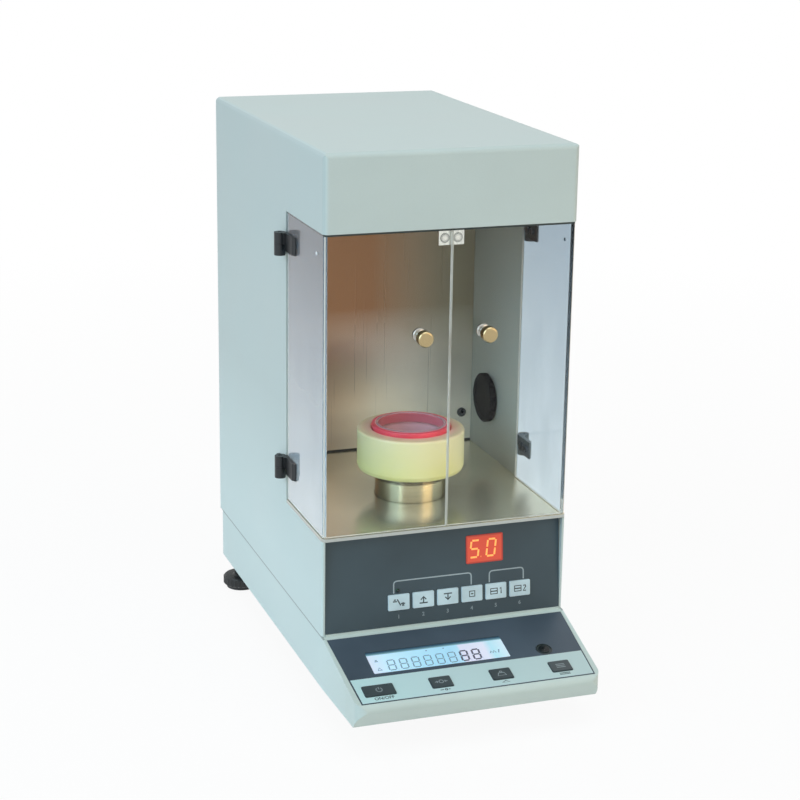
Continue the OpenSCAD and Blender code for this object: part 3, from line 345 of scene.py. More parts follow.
def turned_metal(name, colour, about, roughness, knob=False):
    """Metal from the lathe: fine rings round its axis, and on a shaft a glint drawn out along it.

    The rings are 0.4 mm apart, where a real cut is nearer 0.1 mm, so that they show. A knob lies
    from front to back, and its rear half is plated.
    """
    mat, tree, shader = surface(name, colour, roughness, Metallic=1.0)
    x, y, z = add(tree, "SeparateXYZ", where(tree, 0.4, about), out=None)
    across, along = ((x, z), y) if knob else ((x, y), z)
    rings = add(tree, "CombineXYZ", from_axis(tree, *across), along)
    cut = patches(tree, rings, 3, rough=0.6)
    tone = coats(tree, rgba(colour, 0.86), (cut, rgba(colour, 1.08)))
    if knob:
        tone = coats(tree, tone, (add(tree, "Math GREATER_THAN", along, 0), "b0afa8"))
    else:
        smeared(tree, shader, "Z", 0.7)
    feed(shader, {
        "Base Color": tone,
        "Roughness": add(tree, "MapRange", cut, 0, 1, roughness - 0.06, roughness + 0.08),
        "Normal": add(tree, "Bump", {"Height": cut, "Distance": 0.004 * MM}),
    })
    return mat


def see_through(mat, tree, shader, tint):
    """Lets lamps shine through clear plastic or glass."""
    clear = add(tree, "BsdfTransparent", {"Color": tint})
    shadow = add(tree, "LightPath", out="Is Shadow Ray")
    both = add(tree, "MixShader", shadow, shader.outputs[0], clear)
    feed(tree.nodes["Material Output"], {"Surface": both})
    return mat


def acrylic_pane(name, gloss, haze):
    """Cast acrylic, sawn and folded hot: clear in front and milky at its sawn edges, with a painted
    highlight on its bend and painted shade that makes it dark on top.

    Its side pane mirrors the room: its bluish colour, darker upwards, is a painted reflection, and it
    is clouded and glossy.
    """
    mat, tree, shader = surface(name, "fbfdfd", 0.02, IOR=1.2, Specular_IOR_Level=0.5)
    x, y, z = measured(tree, cabinet_front)
    x = add(tree, "Math ABSOLUTE", x)
    aside = add(tree, "Math GREATER_THAN", x, DOOR_BEND)
    side = add(tree, "Math LESS_THAN", z, PANE_FRONT)
    # The bend is cream and milky as a painted highlight; the sawn edges are milky in fact.
    edge = add(tree, "Math MULTIPLY", aside, add(tree, "Math GREATER_THAN", z, BEND_REAR))
    for axis, limit in ((x, 0.6), (y, DOOR_BOTTOM), (z, DOOR_REAR)):
        edge = add(tree, "Math MAXIMUM", edge, add(tree, "Math LESS_THAN", axis, limit))
    # Painted shade under the hood: a dark band along the top edge.
    top = add(tree, "Math GREATER_THAN", y, DOOR_TOP)
    cloud = patches(tree, where(tree, (27.8, 27.8, 66.7)), 4, 0.35, 0.7, 0.6)
    # The side pane's bluish film, darker upwards, is a painted reflection of the room.
    rise = add(tree, "MapRange", y, 80, 300, 0, 1)
    film = coats(tree, rgba("eaf6fc"), (rise, "acbecb"), (cloud, 0.3, "aebfca"))
    rims = add(tree, "Math MULTIPLY", add(tree, "Math MAXIMUM", edge, top), 0.9)
    mist = add(tree, "Math MULTIPLY", side, add(tree, "MapRange", y, 90, 300, haze, haze * 0.4))
    sheen = add(tree, "MapRange", y, 90, 300, gloss, gloss * 0.25)
    outer = add(tree, "Math MULTIPLY", side, aside)
    feed(shader, {
        "Base Color": coats(tree, rgba("fbfdfd"), (side, film), (edge, "dcd6ca"), (top, "464c4a")),
        "Coat Weight": add(tree, "Math MULTIPLY", outer, sheen),
        "Coat Roughness": 0.03,
        "Transmission Weight": add(tree, "Math SUBTRACT", 1, add(tree, "Math MAXIMUM", mist, rims)),
        "Roughness": add(tree, "Math MULTIPLY", add(tree, "Math MULTIPLY", side, cloud), 0.12),
    })
    return see_through(mat, tree, shader, "f4f8f8")


def dish_glass():
    """Laboratory glass, drawn and pressed: clear walls, a duller floor and rim, faintly pink."""
    mat, tree, shader = surface("dish_glass", "f4c6cc", IOR=1.47)
    _, _, z = measured(tree)
    wall = add(tree, "MapRange", z, 193, 196, 0.3, 0.95)
    rim = add(tree, "MapRange", z, 202.4, 202.9, 1, 0.6)
    swirl = patches(tree, where(tree, 11), 3, 0.35)
    feed(shader, {
        "Transmission Weight": add(tree, "Math MINIMUM", wall, rim),
        "Roughness": add(tree, "MapRange", swirl, 0, 1, 0.02, 0.12),
        "Normal": relief(tree, where(tree, 17), 0.2),
    })
    return see_through(mat, tree, shader, "f0dede")


def cup_polymer():
    """Turned fluoropolymer, pale yellow-green: light glows in it, it pales towards its top, and its
    top carries a painted reflection of the red ring.
    """
    glow = {"Subsurface_Weight": 0.3, "Subsurface_Scale": 0.005, "Subsurface_Radius": (1.0, 0.9, 0.5)}
    mat, tree, shader = surface("cup_polymer", "ecebad", 0.42, **glow)
    x, y, z = measured(tree, stage)
    cloud = patches(tree, where(tree, 36), 3)
    # A painted reflection of the red ring tints the cup's top near it.
    painted_ring_reflection = add(tree, "MapRange", from_axis(tree, x, y), 32, 41, 0.75, 0.2)
    tone = coats(
        tree, rgba("d8d488"), (cloud, "dedaa0"),
        (add(tree, "MapRange", z, 166, 200, 0, 1), 0.5, "e2d8bc"),
        (painted_ring_reflection, add(tree, "Math GREATER_THAN", z, CUP_TOP), "ffbcae"),
    )
    feed(shader, {"Base Color": tone, "Normal": relief(tree, where(tree, (1000, 1000, 0.4)), 0.02)})
    return mat


def ring_rubber():
    """Moulded silicone: soft red with light glowing in it, and paler by the dish."""
    glow = {"Subsurface_Weight": 0.15, "Subsurface_Scale": 0.003}
    mat = moulded("ring_silicone", "e2485a", 0.38, **glow)
    x, y, _ = measured(mat.node_tree, stage)
    radius = from_axis(mat.node_tree, x, y)
    return washed(mat, (add(mat.node_tree, "Math LESS_THAN", radius, RING_BORE), "f2b0ba"))


def column_steel():
    """Turned stainless, slightly straw-toned, with painted shade darkening its top under the cup."""
    mat = turned_metal("column_steel", "d4caac", stage, 0.16)
    _, height, _ = measured(mat.node_tree, cabinet_front)
    # Painted shade under the cup: the top of the column is darkened.
    return washed(mat, (add(mat.node_tree, "MapRange", height, 94, 95.5, 0, 0.75), "4a4230"))


def panel_film(name, colour, roughness=0.42, tones=(0.86, 1.12)):
    """Matt polyester film, or ink printed on it: even and soft, with a fine emboss and faint clouds.

    The emboss is 0.4 mm, twice as coarse as real, so that it shows.
    """
    mat, tree, shader = surface(name, colour, roughness, Specular_IOR_Level=0.4)
    cloud = patches(tree, where(tree, 60), 3)
    dim, bright = (rgba(colour, level) for level in tones)
    feed(shader, {
        "Base Color": coats(tree, dim, (cloud, bright)),
        "Roughness": add(tree, "MapRange", cloud, 0, 1, roughness - 0.05, roughness + 0.06),
        "Normal": relief(tree, where(tree, 0.4), 0.01, 1),
    })
    return mat


def overlay_film():
    """The console's printed film: dark above, with a pale band for the keys in a thin dark frame."""
    mat = panel_film("console_film", "44525e", 0.4, (0.85, 1.15))
    tree = mat.node_tree
    x, y, _ = measured(tree, console)
    band = add(tree, "ValToRGB", add(tree, "MapRange", x, -95, 95, 0, 1),
               stops=[(0, "c3e5e4"), (1, "c0d5d3"), (0.35, "c6e2e2")])
    half_width = add(tree, "Math MULTIPLY_ADD", y, 0.0462, 97.16)
    margin = add(tree, "Math SUBTRACT", half_width, add(tree, "Math ABSOLUTE", x))
    low, high = KEY_BAND
    return washed(mat, (
        add(tree, "Math COMPARE", y, (low + high) / 2, (high - low) / 2),
        add(tree, "Math GREATER_THAN", margin, 0.8), band,
    ))


def result_window():
    """Acrylic over a backlit cell: pale blue, milky in two bands, and dark at its far edge with
    painted shade of the bezel.
    """
    mat, tree, shader = surface("result_window", "b0dcf0", 0.12, Specular_IOR_Level=0.5)
    x, y, _ = measured(tree, console)
    lit = add(tree, "ValToRGB", add(tree, "MapRange", x, -73.4, 36.6, 0, 1), stops=[
        (0, "d8e2f2"), (1, "d6ebf6"), (0.12, "c8eafa"), (0.35, "b4e2f6"), (0.6, "aadbf2"),
        (0.66, "b2dff3"), (0.675, "dcdff2"), (0.85, "dfe4f4"), (0.9, "b9e4f0"),
    ])
    # Painted shade of the bezel over the recessed cell, darkest at the far edge.
    edge = add(tree, "ValToRGB", add(tree, "MapRange", y, -27.6, -23.5, 0, 1),
               stops=[(0, "94bfc8"), (1, "1f333e"), (0.3, "5f8896"), (0.6, "37566a")])
    speckle = add(tree, "TexNoise", {"Vector": where(tree, 2), "Scale": 1, "Detail": 1})
    rim = add(tree, "Math GREATER_THAN", y, -27.6)
    face = coats(tree, lit, (rim, edge), (speckle, 0.06, "8fb6c6"))
    feed(shader, {"Base Color": face, "Emission Color": face, "Emission Strength": 0.27})
    return mat


def speed_window():
    """Red acrylic filter: a warm glow from behind that darkens towards its rim."""
    mat, tree, shader = surface("speed_window", "e4543a", 0.16, Specular_IOR_Level=0.5)
    x, y, _ = measured(tree, upper_panel)
    rims = []
    for axis, middle, rim in zip((x, y), SPEED_WINDOW, ((13.6, 15.5), (9.6, 11.4))):
        off = add(tree, "Math ABSOLUTE", add(tree, "Math SUBTRACT", axis, middle))
        rims.append(add(tree, "MapRange", off, *rim, 0, 1))
    glow = coats(tree, rgba("e85238"), (add(tree, "Math MAXIMUM", *rims), "a83228"))
    feed(shader, {
        "Base Color": glow, "Emission Color": glow, "Emission Strength": 0.13,
        "Normal": relief(tree, where(tree, 1.4), 0.02, 1),
    })
    return mat


def lit_mark(name, colour, strength):
    """Clear epoxy of a lit segment, slightly uneven from the chip behind it."""
    mat, tree, shader = surface(name, colour, 0.5)
    uneven = patches(tree, where(tree, 1.4), 1)
    tone = coats(tree, rgba(colour, 0.85), (uneven, rgba(colour, 1.1)))
    feed(shader, {"Base Color": tone, "Emission Color": tone, "Emission Strength": strength})
    return mat


def circuit_board():
    """Glass epoxy with green solder resist over copper tracks, drilled pads and bright sockets.

    Its 9 mm tracks and 3 mm pads are far coarser than real, so that they show.
    """
    mat, tree, shader = surface("circuit_board", "1f5a3a", 0.35)
    x, y, z = measured(tree)
    spot = add(tree, "CombineXYZ", x, add(tree, "Math ADD", y, z))
    brick = {"Vector": spot, "Scale": 0.11, "Mortar Size": 0.06, "Mortar Smooth": 0.2}
    tracks = add(tree, "TexBrick", brick, out="Fac")
    pads = add(tree, "TexVoronoi", {"Vector": spot, "Scale": 0.33, "Randomness": 0.6}, out="Distance")
    socket = add(tree, "Math GREATER_THAN", y, 182.5)
    feed(shader, {
        "Metallic": socket,
        "Base Color": coats(
            tree, rgba("1c5436"), (tracks, "2f7a4c"),
            (add(tree, "Math LESS_THAN", pads, 0.16), "b9a35c"),
            (add(tree, "Math LESS_THAN", y, -113), "14191b"), (socket, "c4c8ca"),
        ),
        "Normal": add(tree, "Bump", {"Height": tracks, "Distance": 0.03 * MM}),
    })
    return mat


def level_glass():
    """Acrylic lens of the spirit level: a dark well of spirit with a paler ring round it."""
    mat, tree, shader = surface("level_glass", "5a6658", 0.12, Specular_IOR_Level=0.3)
    x, y, _ = measured(tree, console @ Matrix.Translation((*LEVEL, 0)))
    radius = add(tree, "MapRange", from_axis(tree, x, y), 0, 6.5, 0, 1)
    tone = add(tree, "ValToRGB", radius, stops=[
        (0, "0a0f11"), (1, "444d50"),
        (0.6, "0f1618"), (0.7, "3a4546"), (0.8, "4c5755"), (0.88, "2c3537"),
    ])
    feed(shader, {"Base Color": tone, "Normal": relief(tree, where(tree, 3.3), 0.02, 1)})
    return mat


def dress(mat, *names):
    """Gives CAD nodes a finish."""
    for name in names:
        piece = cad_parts[name]
        if not piece.material_slots:
            piece.data.materials.append(mat)
        for slot in piece.material_slots:
            slot.material = mat


# ------------------------------------------------------------------ pieces

def finished(name, mesh, mat, body, smooth=False):
    """Puts a finished mesh on the instrument, riding on a body."""
    for face in mesh.polygons:
        face.use_smooth = smooth
    mesh.materials.clear()
    mesh.materials.append(mat)
    piece = bpy.data.objects.new(name, mesh)
    bpy.context.scene.collection.objects.link(piece)
    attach(piece, body)
    return piece


def meshed(curve, place):
    """Turns a drawn curve or lettering into a mesh in its place."""
    name = curve.name
    drawn = bpy.data.objects.new(f"{name}_drawn", curve)
    mesh = bpy.data.meshes.new_from_object(drawn)
    bpy.data.objects.remove(drawn)
    bpy.data.curves.remove(curve)
    mesh.transform(place)
    mesh.name = name
    return mesh


def printed_lines(name, at, strokes, width, mat, body, slot, height=0.08):
    """Lines of ink: each stroke is a list of points, and is closed if it ends where it starts."""
    curve = bpy.data.curves.new(name, "CURVE")
    curve.dimensions = "3D"
    curve.bevel_depth = width / 2
    curve.bevel_resolution = 1
    curve.use_fill_caps = True
    for points in strokes:
        closed = points[0] == points[-1]
        points = points[:-1] if closed else points
        spline = curve.splines.new("POLY")
        spline.points.add(len(points) - 1)
        for target, (x, y) in zip(spline.points, points):
            target.co = (x, y, 0, 1)
        spline.use_cyclic_u = closed
    flattened = Matrix.Diagonal((1, 1, 2 * height / width, 1))
    return finished(name, meshed(curve, at @ flattened), mat, body)


def printed_text(name, at, words, height, mat, body, slot):
    """Plain lettering, centred on its frame."""
    curve = bpy.data.curves.new(name, "FONT")
    curve.body = words
    curve.size = height / 0.7  # capitals are 0.7 of the type size
    curve.align_x = "CENTER"
    curve.align_y = "CENTER"
    curve.extrude = 0.03
    curve.offset = height * 0.03
    curve.resolution_u = 3
    return finished(name, meshed(curve, at), mat, body)


def rounded_path(corners, radius, steps=5):
    """Points along a line whose inner corners are rounded."""
    path = [tuple(corners[0])]
    for before, here, after in zip(corners, corners[1:], corners[2:]):
        here = Vector(here)
        start = here + (Vector(before) - here).normalized() * radius
        end = here + (Vector(after) - here).normalized() * radius
        for i in range(steps + 1):
            t = i / steps
            path.append(tuple(start.lerp(here, t).lerp(here.lerp(end, t), t)))
    path.append(tuple(corners[-1]))
    return path


def arc(x, y, radius, start=0, end=360, steps=14):
    """Points along an arc between two angles in degrees."""
    turn = [math.radians(start + (end - start) * i / steps) for i in range(steps + 1)]
    points = [(x + radius * math.cos(a), y + radius * math.sin(a)) for a in turn]
    if end - start >= 360:
        points[-1] = points[0]
    return points


SEGMENTS = {
    "a": ((0, 1), (1, 1)), "b": ((1, 1), (1, 0.5)), "c": ((1, 0.5), (1, 0)), "d": ((1, 0), (0, 0)),
    "e": ((0, 0.5), (0, 0)), "f": ((0, 1), (0, 0.5)), "g": ((0, 0.5), (1, 0.5)),
}


def digit_strokes(lit, x, y, width, height, slant, gap):
    """The lit segments of a digit whose lower left corner is at x and y."""
    strokes = []
    for key in lit:
        start, end = (Vector((across * width, up * height)) for across, up in SEGMENTS[key])
        inward = (end - start).normalized() * gap
        strokes.append([(x + p.x + p.y * slant, y + p.y) for p in (start + inward, end - inward)])
    return strokes


def button(name, at, radius, height, mat, body, dome=0.35):
    """A small turned button with a rounded rim, standing on the frame's face."""
    shape = bmesh.new()
    bmesh.ops.create_cone(shape, cap_ends=True, segments=32, radius1=radius, radius2=radius,
                          depth=height, matrix=Matrix.Translation((0, 0, height / 2)))
    rim = [e for e in shape.edges if all(v.co.z > height * 0.9 for v in e.verts)]
    bmesh.ops.bevel(shape, geom=rim, offset=min(radius, height) * dome, offset_type="OFFSET",
                    affect="EDGES", segments=3, profile=0.5, material=-1)
    bmesh.ops.recalc_face_normals(shape, faces=shape.faces)
    bmesh.ops.transform(shape, matrix=at, verts=shape.verts)
    mesh = bpy.data.meshes.new(name)
    shape.to_mesh(mesh)
    shape.free()
    return finished(name, mesh, mat, body, smooth=True)


# ------------------------------------------------------------------ settings

def length(label, about, size, least, most):
    """A setting in metres."""
    return FloatProperty(
        name=label, description=about, default=size, min=least, max=most, unit="LENGTH")


def swatch(label, about, code):
    """A colour setting."""
    return FloatVectorProperty(
        name=label, description=about, default=linear(code), size=3, min=0, max=1, subtype="COLOR")


class TensiometerSizes(PropertyGroup):
    """Sizes of the printed and lit marks."""
    line: length("Printed line", "Width of the lines over the lift keys", 0.001, 0.0003, 0.002)
    speed_digit: length("Speed digit", "Height of the speed digits", 0.0134, 0.008, 0.018)
    result_digit: length("Result digit", "Height of the result digits", 0.0115, 0.006, 0.018)
    bumper: length("Bumper", "Radius of the clear bumpers on the side panes", 0.0014, 0.001, 0.004)


class TensiometerColours(PropertyGroup):
    """Colours of the main finishes."""
    paint: swatch("Cabinet paint", "Powder coat of the housing", "c3d1cd")
    base: swatch("Base paint", "Powder coat of the base casting and the rear panel", "cad9d3")
    film: swatch("Panel film", "Matt film of the upper control panel", "3e4e55")
    keys: swatch("Lift keys", "Caps of the six lift keys", "cee4ea")
    brass: swatch("Brass", "Turned brass of the door knobs", "b6a47c")
    floor: swatch("Studio floor", "The pale floor and backdrop", "f4f4f2")


# ------------------------------------------------------------------ operators

class TENSIOMETER_OT_cabinet(Operator):
    """Powder coat on the housing, base and rear panel, with their screws and feet"""
    bl_idname = "tensiometer.cabinet"
    bl_label = "Cabinet Finish"

    def execute(self, context):
        colours = context.scene.tensiometer_colours
        # The housing's inside is given a darker grey as painted shade.
        dress(powder_coat("cabinet_powder_coat", colours.paint, inside="acafa4"), "housing_shell")
        dress(powder_coat("base_powder_coat", colours.base), "base_shell", "rear_panel")
        # Rolled galvanised steel: grey, with dull streaks across.
        dress(brushed("galvanised_plate", "8f9494", (33, 1.1, 1.1), 0.45), "base_plate")
        # Zinc-plated steel, pressed: bright, with no grain of one direction.
        dress(brushed("screw_steel", "b7b9b6", 1.7, 0.3), "case_screws")
        # Moulded nitrile rubber: near black and dull, with a coarse grain.
        rubber = moulded("foot_rubber", "2b2d2e", 0.62, 1.1)
        dress(rubber, "front_feet", "left_foot_pad", "right_foot_pad")
        # Glass-filled nylon, moulded: black with a soft shine.
        dress(moulded("foot_wheel_nylon", "232627", 0.4), "left_foot_wheel", "right_foot_wheel")
        return {"FINISHED"}


class TENSIOMETER_OT_chamber(Operator):
    """Metals of the sample chamber, its catch, grommet and lock knob"""
    bl_idname = "tensiometer.chamber"
    bl_label = "Chamber Finish"

    def execute(self, context):
        dress(floor_steel(), "chamber_floor")
        dress(back_wall(), "chamber_back")
        dress(powder_coat("ceiling_powder_coat", "b9bcb4"), "chamber_ceiling")
        dress(catch_steel(), "catch_bracket")
        # Moulded rubber: dark grey and dull.
        dress(moulded("grommet_rubber", "3a3d3e", 0.5), "probe_grommet")
        # Pressed phenolic: black, with hardly any shine.
        phenolic = moulded("knob_phenolic", "08090a", 0.6, 0.8, 0.02, Specular_IOR_Level=0.12)
        dress(phenolic, "lock_knob")
        return {"FINISHED"}


class TENSIOMETER_OT_doors(Operator):
    """Acrylic doors with their black hinges and brass knobs"""
    bl_idname = "tensiometer.doors"
    bl_label = "Doors Finish"

    def execute(self, context):
        brass = context.scene.tensiometer_colours.brass
        dress(acrylic_pane("left_acrylic", 1.0, 0.36), "left_door")
        dress(acrylic_pane("right_acrylic", 0.3, 0.1), "right_door")
        # Moulded nylon: near black, with a soft shine.
        nylon = moulded("hinge_nylon", "1c2022", 0.4)
        dress(nylon, "left_door_clamps", "right_door_clamps", "hinge_blocks")
        # Drawn steel pins: bright, with lines along them.
        dress(brushed("pin_steel", "a8aaa8", (2, 2, 17), 0.3), "hinge_pins")
        # Turned and lacquered brass: straw yellow, with rings on its face.
        for side in ("left", "right"):
            low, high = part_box(f"{side}_door_knob")
            about = Matrix.Translation((low + high) / 2)
            finish = turned_metal(f"{side}_knob_brass", brass, about, 0.26, knob=True)
            dress(finish, f"{side}_door_knob")
        return {"FINISHED"}


class TENSIOMETER_OT_bumpers(Operator):
    """The small clear bumper on each door's side pane, under the hood"""
    bl_idname = "tensiometer.bumpers"
    bl_label = "Door Bumpers"

    def execute(self, context):
        radius = context.scene.tensiometer_sizes.bumper / MM
        # Cast silicone: nearly white, with a wet shine.
        mat = moulded("bumper_silicone", "f2f4f4", 0.25)
        for side, sign in (("left", -1), ("right", 1)):
            outward = Matrix.Rotation(sign * math.pi / 2, 4, "Y")
            at = instrument_frame(sign * 99.2, 18.8, 296) @ outward
            button(f"{side}_door_bumper", at, radius, 0.7, mat, f"{side}_door")
        return {"FINISHED"}


class TENSIOMETER_OT_stage(Operator):
    """The lifting stage: turned column, polymer cup, red ring and glass dish"""
    bl_idname = "tensiometer.stage"
    bl_label = "Sample Stage Finish"

    def execute(self, context):
        dress(column_steel(), "stage_column")
        dress(cup_polymer(), "cup_holder")
        dress(dish_glass(), "sample_dish")
        dress(ring_rubber(), "dish_ring")
        # Bent stainless wire: bright, with short marks round it.
        dress(brushed("hook_steel", "c4c8ca", (2.5, 2.5, 1.1), 0.2), "weighing_hook")
        return {"FINISHED"}


class TENSIOMETER_OT_control_panel(Operator):
    """Film of the upper panel, its six keys, its red window and indicator"""
    bl_idname = "tensiometer.control_panel"
    bl_label = "Control Panel Finish"

    def execute(self, context):
        colours = context.scene.tensiometer_colours
        dress(panel_film("upper_panel_film", colours.film), "control_panel")
        # Moulded ABS: pale blue-grey and satin.
        dress(moulded("lift_key_abs", colours.keys, 0.4, 0.45), *LIFT_KEYS)
        dress(speed_window(), "led_window")
        # Moulded ABS case: dark red-brown, seen only through the window.
        dress(moulded("display_abs", "4a2018", 0.4), "led_display")
        return {"FINISHED"}


class TENSIOMETER_OT_panel_lines(Operator):
    """The two printed brackets that group the lift keys"""
    bl_idname = "tensiometer.panel_lines"
    bl_label = "Panel Lines"

    def execute(self, context):
        width = context.scene.tensiometer_sizes.line / MM
        ink = panel_film("panel_line_ink", "a3b1b5", 0.5)
        groups = {"lift_bracket": (-41.3, 22.8, 36.2), "preset_bracket": (38.0, 66.8, 35.8)}
        foot, bend = 26.6, 3.0
        for name, (left, right, top) in groups.items():
            path = rounded_path([(left, foot), (left, top), (right, top), (right, foot)], bend)
            printed_lines(name, upper_panel, [path], width, ink, "cabinet", "control_panel")
        return {"FINISHED"}


class TENSIOMETER_OT_speed_digits(Operator):
    """The two lit digits and the point of the speed display"""
    bl_idname = "tensiometer.speed_digits"
    bl_label = "Speed Digits"

    def execute(self, context):
        height = context.scene.tensiometer_sizes.speed_digit / MM
        glow = lit_mark("speed_segment_epoxy", "ffac5a", 0.6)
        face = upper_panel @ Matrix.Translation((*SPEED_WINDOW, LENS_TOP))
        width, low = height * 0.5, -height / 2 + 0.3
        strokes = [[(-3.2, low + 0.1), (-2.9, low + 0.1)]]
        for left, lit in ((-12.4, "afgcd"), (1.4, "abcdef")):
            strokes += digit_strokes(lit, left, low, width, height, 0.12, 0.7)
        printed_lines("speed_digits", face, strokes, 1.4, glow, "cabinet", "led_display", 0.05)
        return {"FINISHED"}


class TENSIOMETER_OT_lift_marks(Operator):
    """Signs on the six lift keys, and plain numbers below them"""
    bl_idname = "tensiometer.lift_marks"
    bl_label = "Lift Key Marks"

    def execute(self, context):
        ink = panel_film("key_ink", "3f4b4e", 0.5)
        dim = panel_film("panel_number_ink", "8c999e", 0.5)
        up = [[(0, -2.4), (0, 2.2)], [(-2.2, 0), (0, 2.4), (2.2, 0)], [(-3.4, -2.6), (3.4, -2.6)]]
        square = [(-2.2, -2.2), (2.2, -2.2), (2.2, 2.2), (-2.2, 2.2), (-2.2, -2.2)]
        store = [[(-4.6, -2.2), (1, -2.2), (1, 2.2), (-4.6, 2.2), (-4.6, -2.2)], [(-4.6, 0), (1, 0)]]
        signs = [
            [[(-5, 0.8), (-1.6, 0.8)], [(-4.2, 2.2), (-2.4, 2.2)], [(-1.4, 2.6), (1.4, -2.6)],
             [(1.6, -1.2), (5, -1.2)], [(2.4, -2.6), (4.4, -2.6)], [(3.3, -0.2), (3.3, -2.6)]],
            up,
            [[(x, -y) for x, y in stroke] for stroke in up],
            [square, [(-1, 0), (1, 0)]],
            [*store, [(3.2, 1.6), (4.2, 2.4), (4.2, -2.4)]],
            [*store, [(2.8, 1.8), (4.6, 2.2), (4.8, 0.8), (2.8, -2.3), (5.2, -2.3)]],
        ]
        for number, ((key, x), sign) in enumerate(zip(LIFT_KEYS.items(), signs), 1):
            cap = upper_panel @ Matrix.Translation((x, LIFT_KEY_ROW, KEY_TOP))
            printed_lines(f"{key}_sign", cap, sign, 1.0, ink, key, key, 0.04)
            below = upper_panel @ Matrix.Translation((x, LIFT_NUMBER_ROW, 0))
            printed_text(f"{key}_number", below, str(number), 3.0, dim, "cabinet", "control_panel")
        return {"FINISHED"}


class TENSIOMETER_OT_console(Operator):
    """Film of the console, its windows, keys and spirit level"""
    bl_idname = "tensiometer.console"
    bl_label = "Console Finish"

    def execute(self, context):
        dress(overlay_film(), "console_overlay")
        dress(result_window(), "lcd_window")
        # Pressed steel frame of the cell: grey-green, with lines along it.
        dress(brushed("cell_steel", "8d9a94", (25, 1.1, 1.1), 0.35), "lcd_display")
        # Moulded ABS: dark grey and satin.
        dress(moulded("console_key_abs", "3d484b", 0.4, 0.45), *CONSOLE_KEYS)
        dress(level_glass(), "level_vial")
        return {"FINISHED"}


class TENSIOMETER_OT_result_digits(Operator):
    """The row of segments of the result display, faint but for its last two digits"""
    bl_idname = "tensiometer.result_digits"
    bl_label = "Result Digits"

    def execute(self, context):
        height = context.scene.tensiometer_sizes.result_digit / MM
        faint = panel_film("faint_segment_film", "86aab8", 0.3)
        dark = panel_film("dark_segment_film", "5a5f70", 0.3)
        face = console @ Matrix.Translation((*RESULT_WINDOW, 0))
        width, low, digits, first, step = height * 0.48, -10.6, 8, -42, 9.8
        pale, deep = [], []
        for i in range(digits):
            x = first + i * step
            strokes = digit_strokes("abcdefg", x, low, width, height, 0.08, 0.45)
            strokes.append([(x + width + 1.5, low), (x + width + 1.7, low)])
            (pale if i < digits - 2 else deep).extend(strokes)
        pale += [
            [(-51, -9.5), (-49.4, -6.4), (-47.8, -9.5), (-51, -9.5)], [(-50.6, 1), (-48, 1)],
            [(-50, 2.4), (-48.4, 2.4)], [(-8, 6.4), (-6.6, 6.4)], [(6, 6.8), (7.4, 6.8)],
            [(41, -6), (42.2, -3.4), (43.4, -6), (44.6, -3.4), (45.8, -6)],
            [(47.6, -6.4), (49, -2.6)],
        ]
        under = "cabinet", "lcd_display", 0.03
        printed_lines("result_faint_segments", face, pale, 1.1, faint, *under)
        printed_lines("result_dark_segments", face, deep, 1.5, dark, *under)
        return {"FINISHED"}


class TENSIOMETER_OT_console_marks(Operator):
    """Signs on the four console keys, and plain signs below them"""
    bl_idname = "tensiometer.console_marks"
    bl_label = "Console Key Marks"

    def execute(self, context):
        pale = panel_film("console_key_ink", "8b979a", 0.5)
        ink = panel_film("band_ink", "49585a", 0.5)
        signs = {
            "power_key": [arc(0, 0, 2.3, 125, 415), [(0, 0.4), (0, 3)]],
            "tare_key": [[(-5, 0), (-2.6, 0)], [(-3.6, 1), (-2.6, 0), (-3.6, -1)], arc(0, 0, 1.7),
                         [(5, 0), (2.6, 0)], [(3.6, 1), (2.6, 0), (3.6, -1)]],
            "cal_key": [[(-3.4, -2.2), (3.4, -2.2), (2.2, 0.8), (-2.2, 0.8), (-3.4, -2.2)],
                        arc(0, 1.8, 0.9, steps=10)],
            "mode_key": [[(-3.6, y), (3.6, y)] for y in (1.8, 0, -1.8)],
        }
        below = {
            "tare_key": [[(-4, 0), (-1, 0)], arc(0.8, 0, 0.9, steps=10), [(2.6, 0), (4, 0)]],
            "cal_key": [[(-3, -0.9), (0, 0.9), (3, -0.9), (-3, -0.9)]],
            "mode_key": [[(-4.4, y), (4.4, y)] for y in (0.7, -0.7)],
        }
        for key, x in CONSOLE_KEYS.items():
            cap = console @ Matrix.Translation((x, CONSOLE_KEY_ROW, KEY_TOP))
            printed_lines(f"{key}_sign", cap, signs[key], 0.8, pale, key, key, 0.04)
        on_film = ink, "cabinet", "console_overlay"
        for key, strokes in below.items():
            x, y = CONSOLE_KEYS[key] + 0.5, CONSOLE_KEY_ROW - 8.6
            film = console @ Matrix.Translation((x, y, FILM_TOP))
            printed_lines(f"{key}_sign_below", film, strokes, 0.8, *on_film, 0.03)
        x, y = CONSOLE_KEYS["power_key"] + 1.5, CONSOLE_KEY_ROW - 9.0
        film = console @ Matrix.Translation((x, y, FILM_TOP))
        printed_text("on_off_lettering", film, "ON/OFF", 3.0, *on_film)
        return {"FINISHED"}


class TENSIOMETER_OT_level_bubble(Operator):
    """The bubble of the spirit level"""
    bl_idname = "tensiometer.level_bubble"
    bl_label = "Level Bubble"

    def execute(self, context):
        # It mirrors the dark well, so it looks black and glossy.
        mat = moulded("bubble_glass", "0e1416", 0.2, Specular_IOR_Level=0.3)
        at = console @ Matrix.Translation((65.9, -45.6, 0.55))
        button("level_bubble", at, 2.1, 0.14, mat, "cabinet", 0.5)
        return {"FINISHED"}


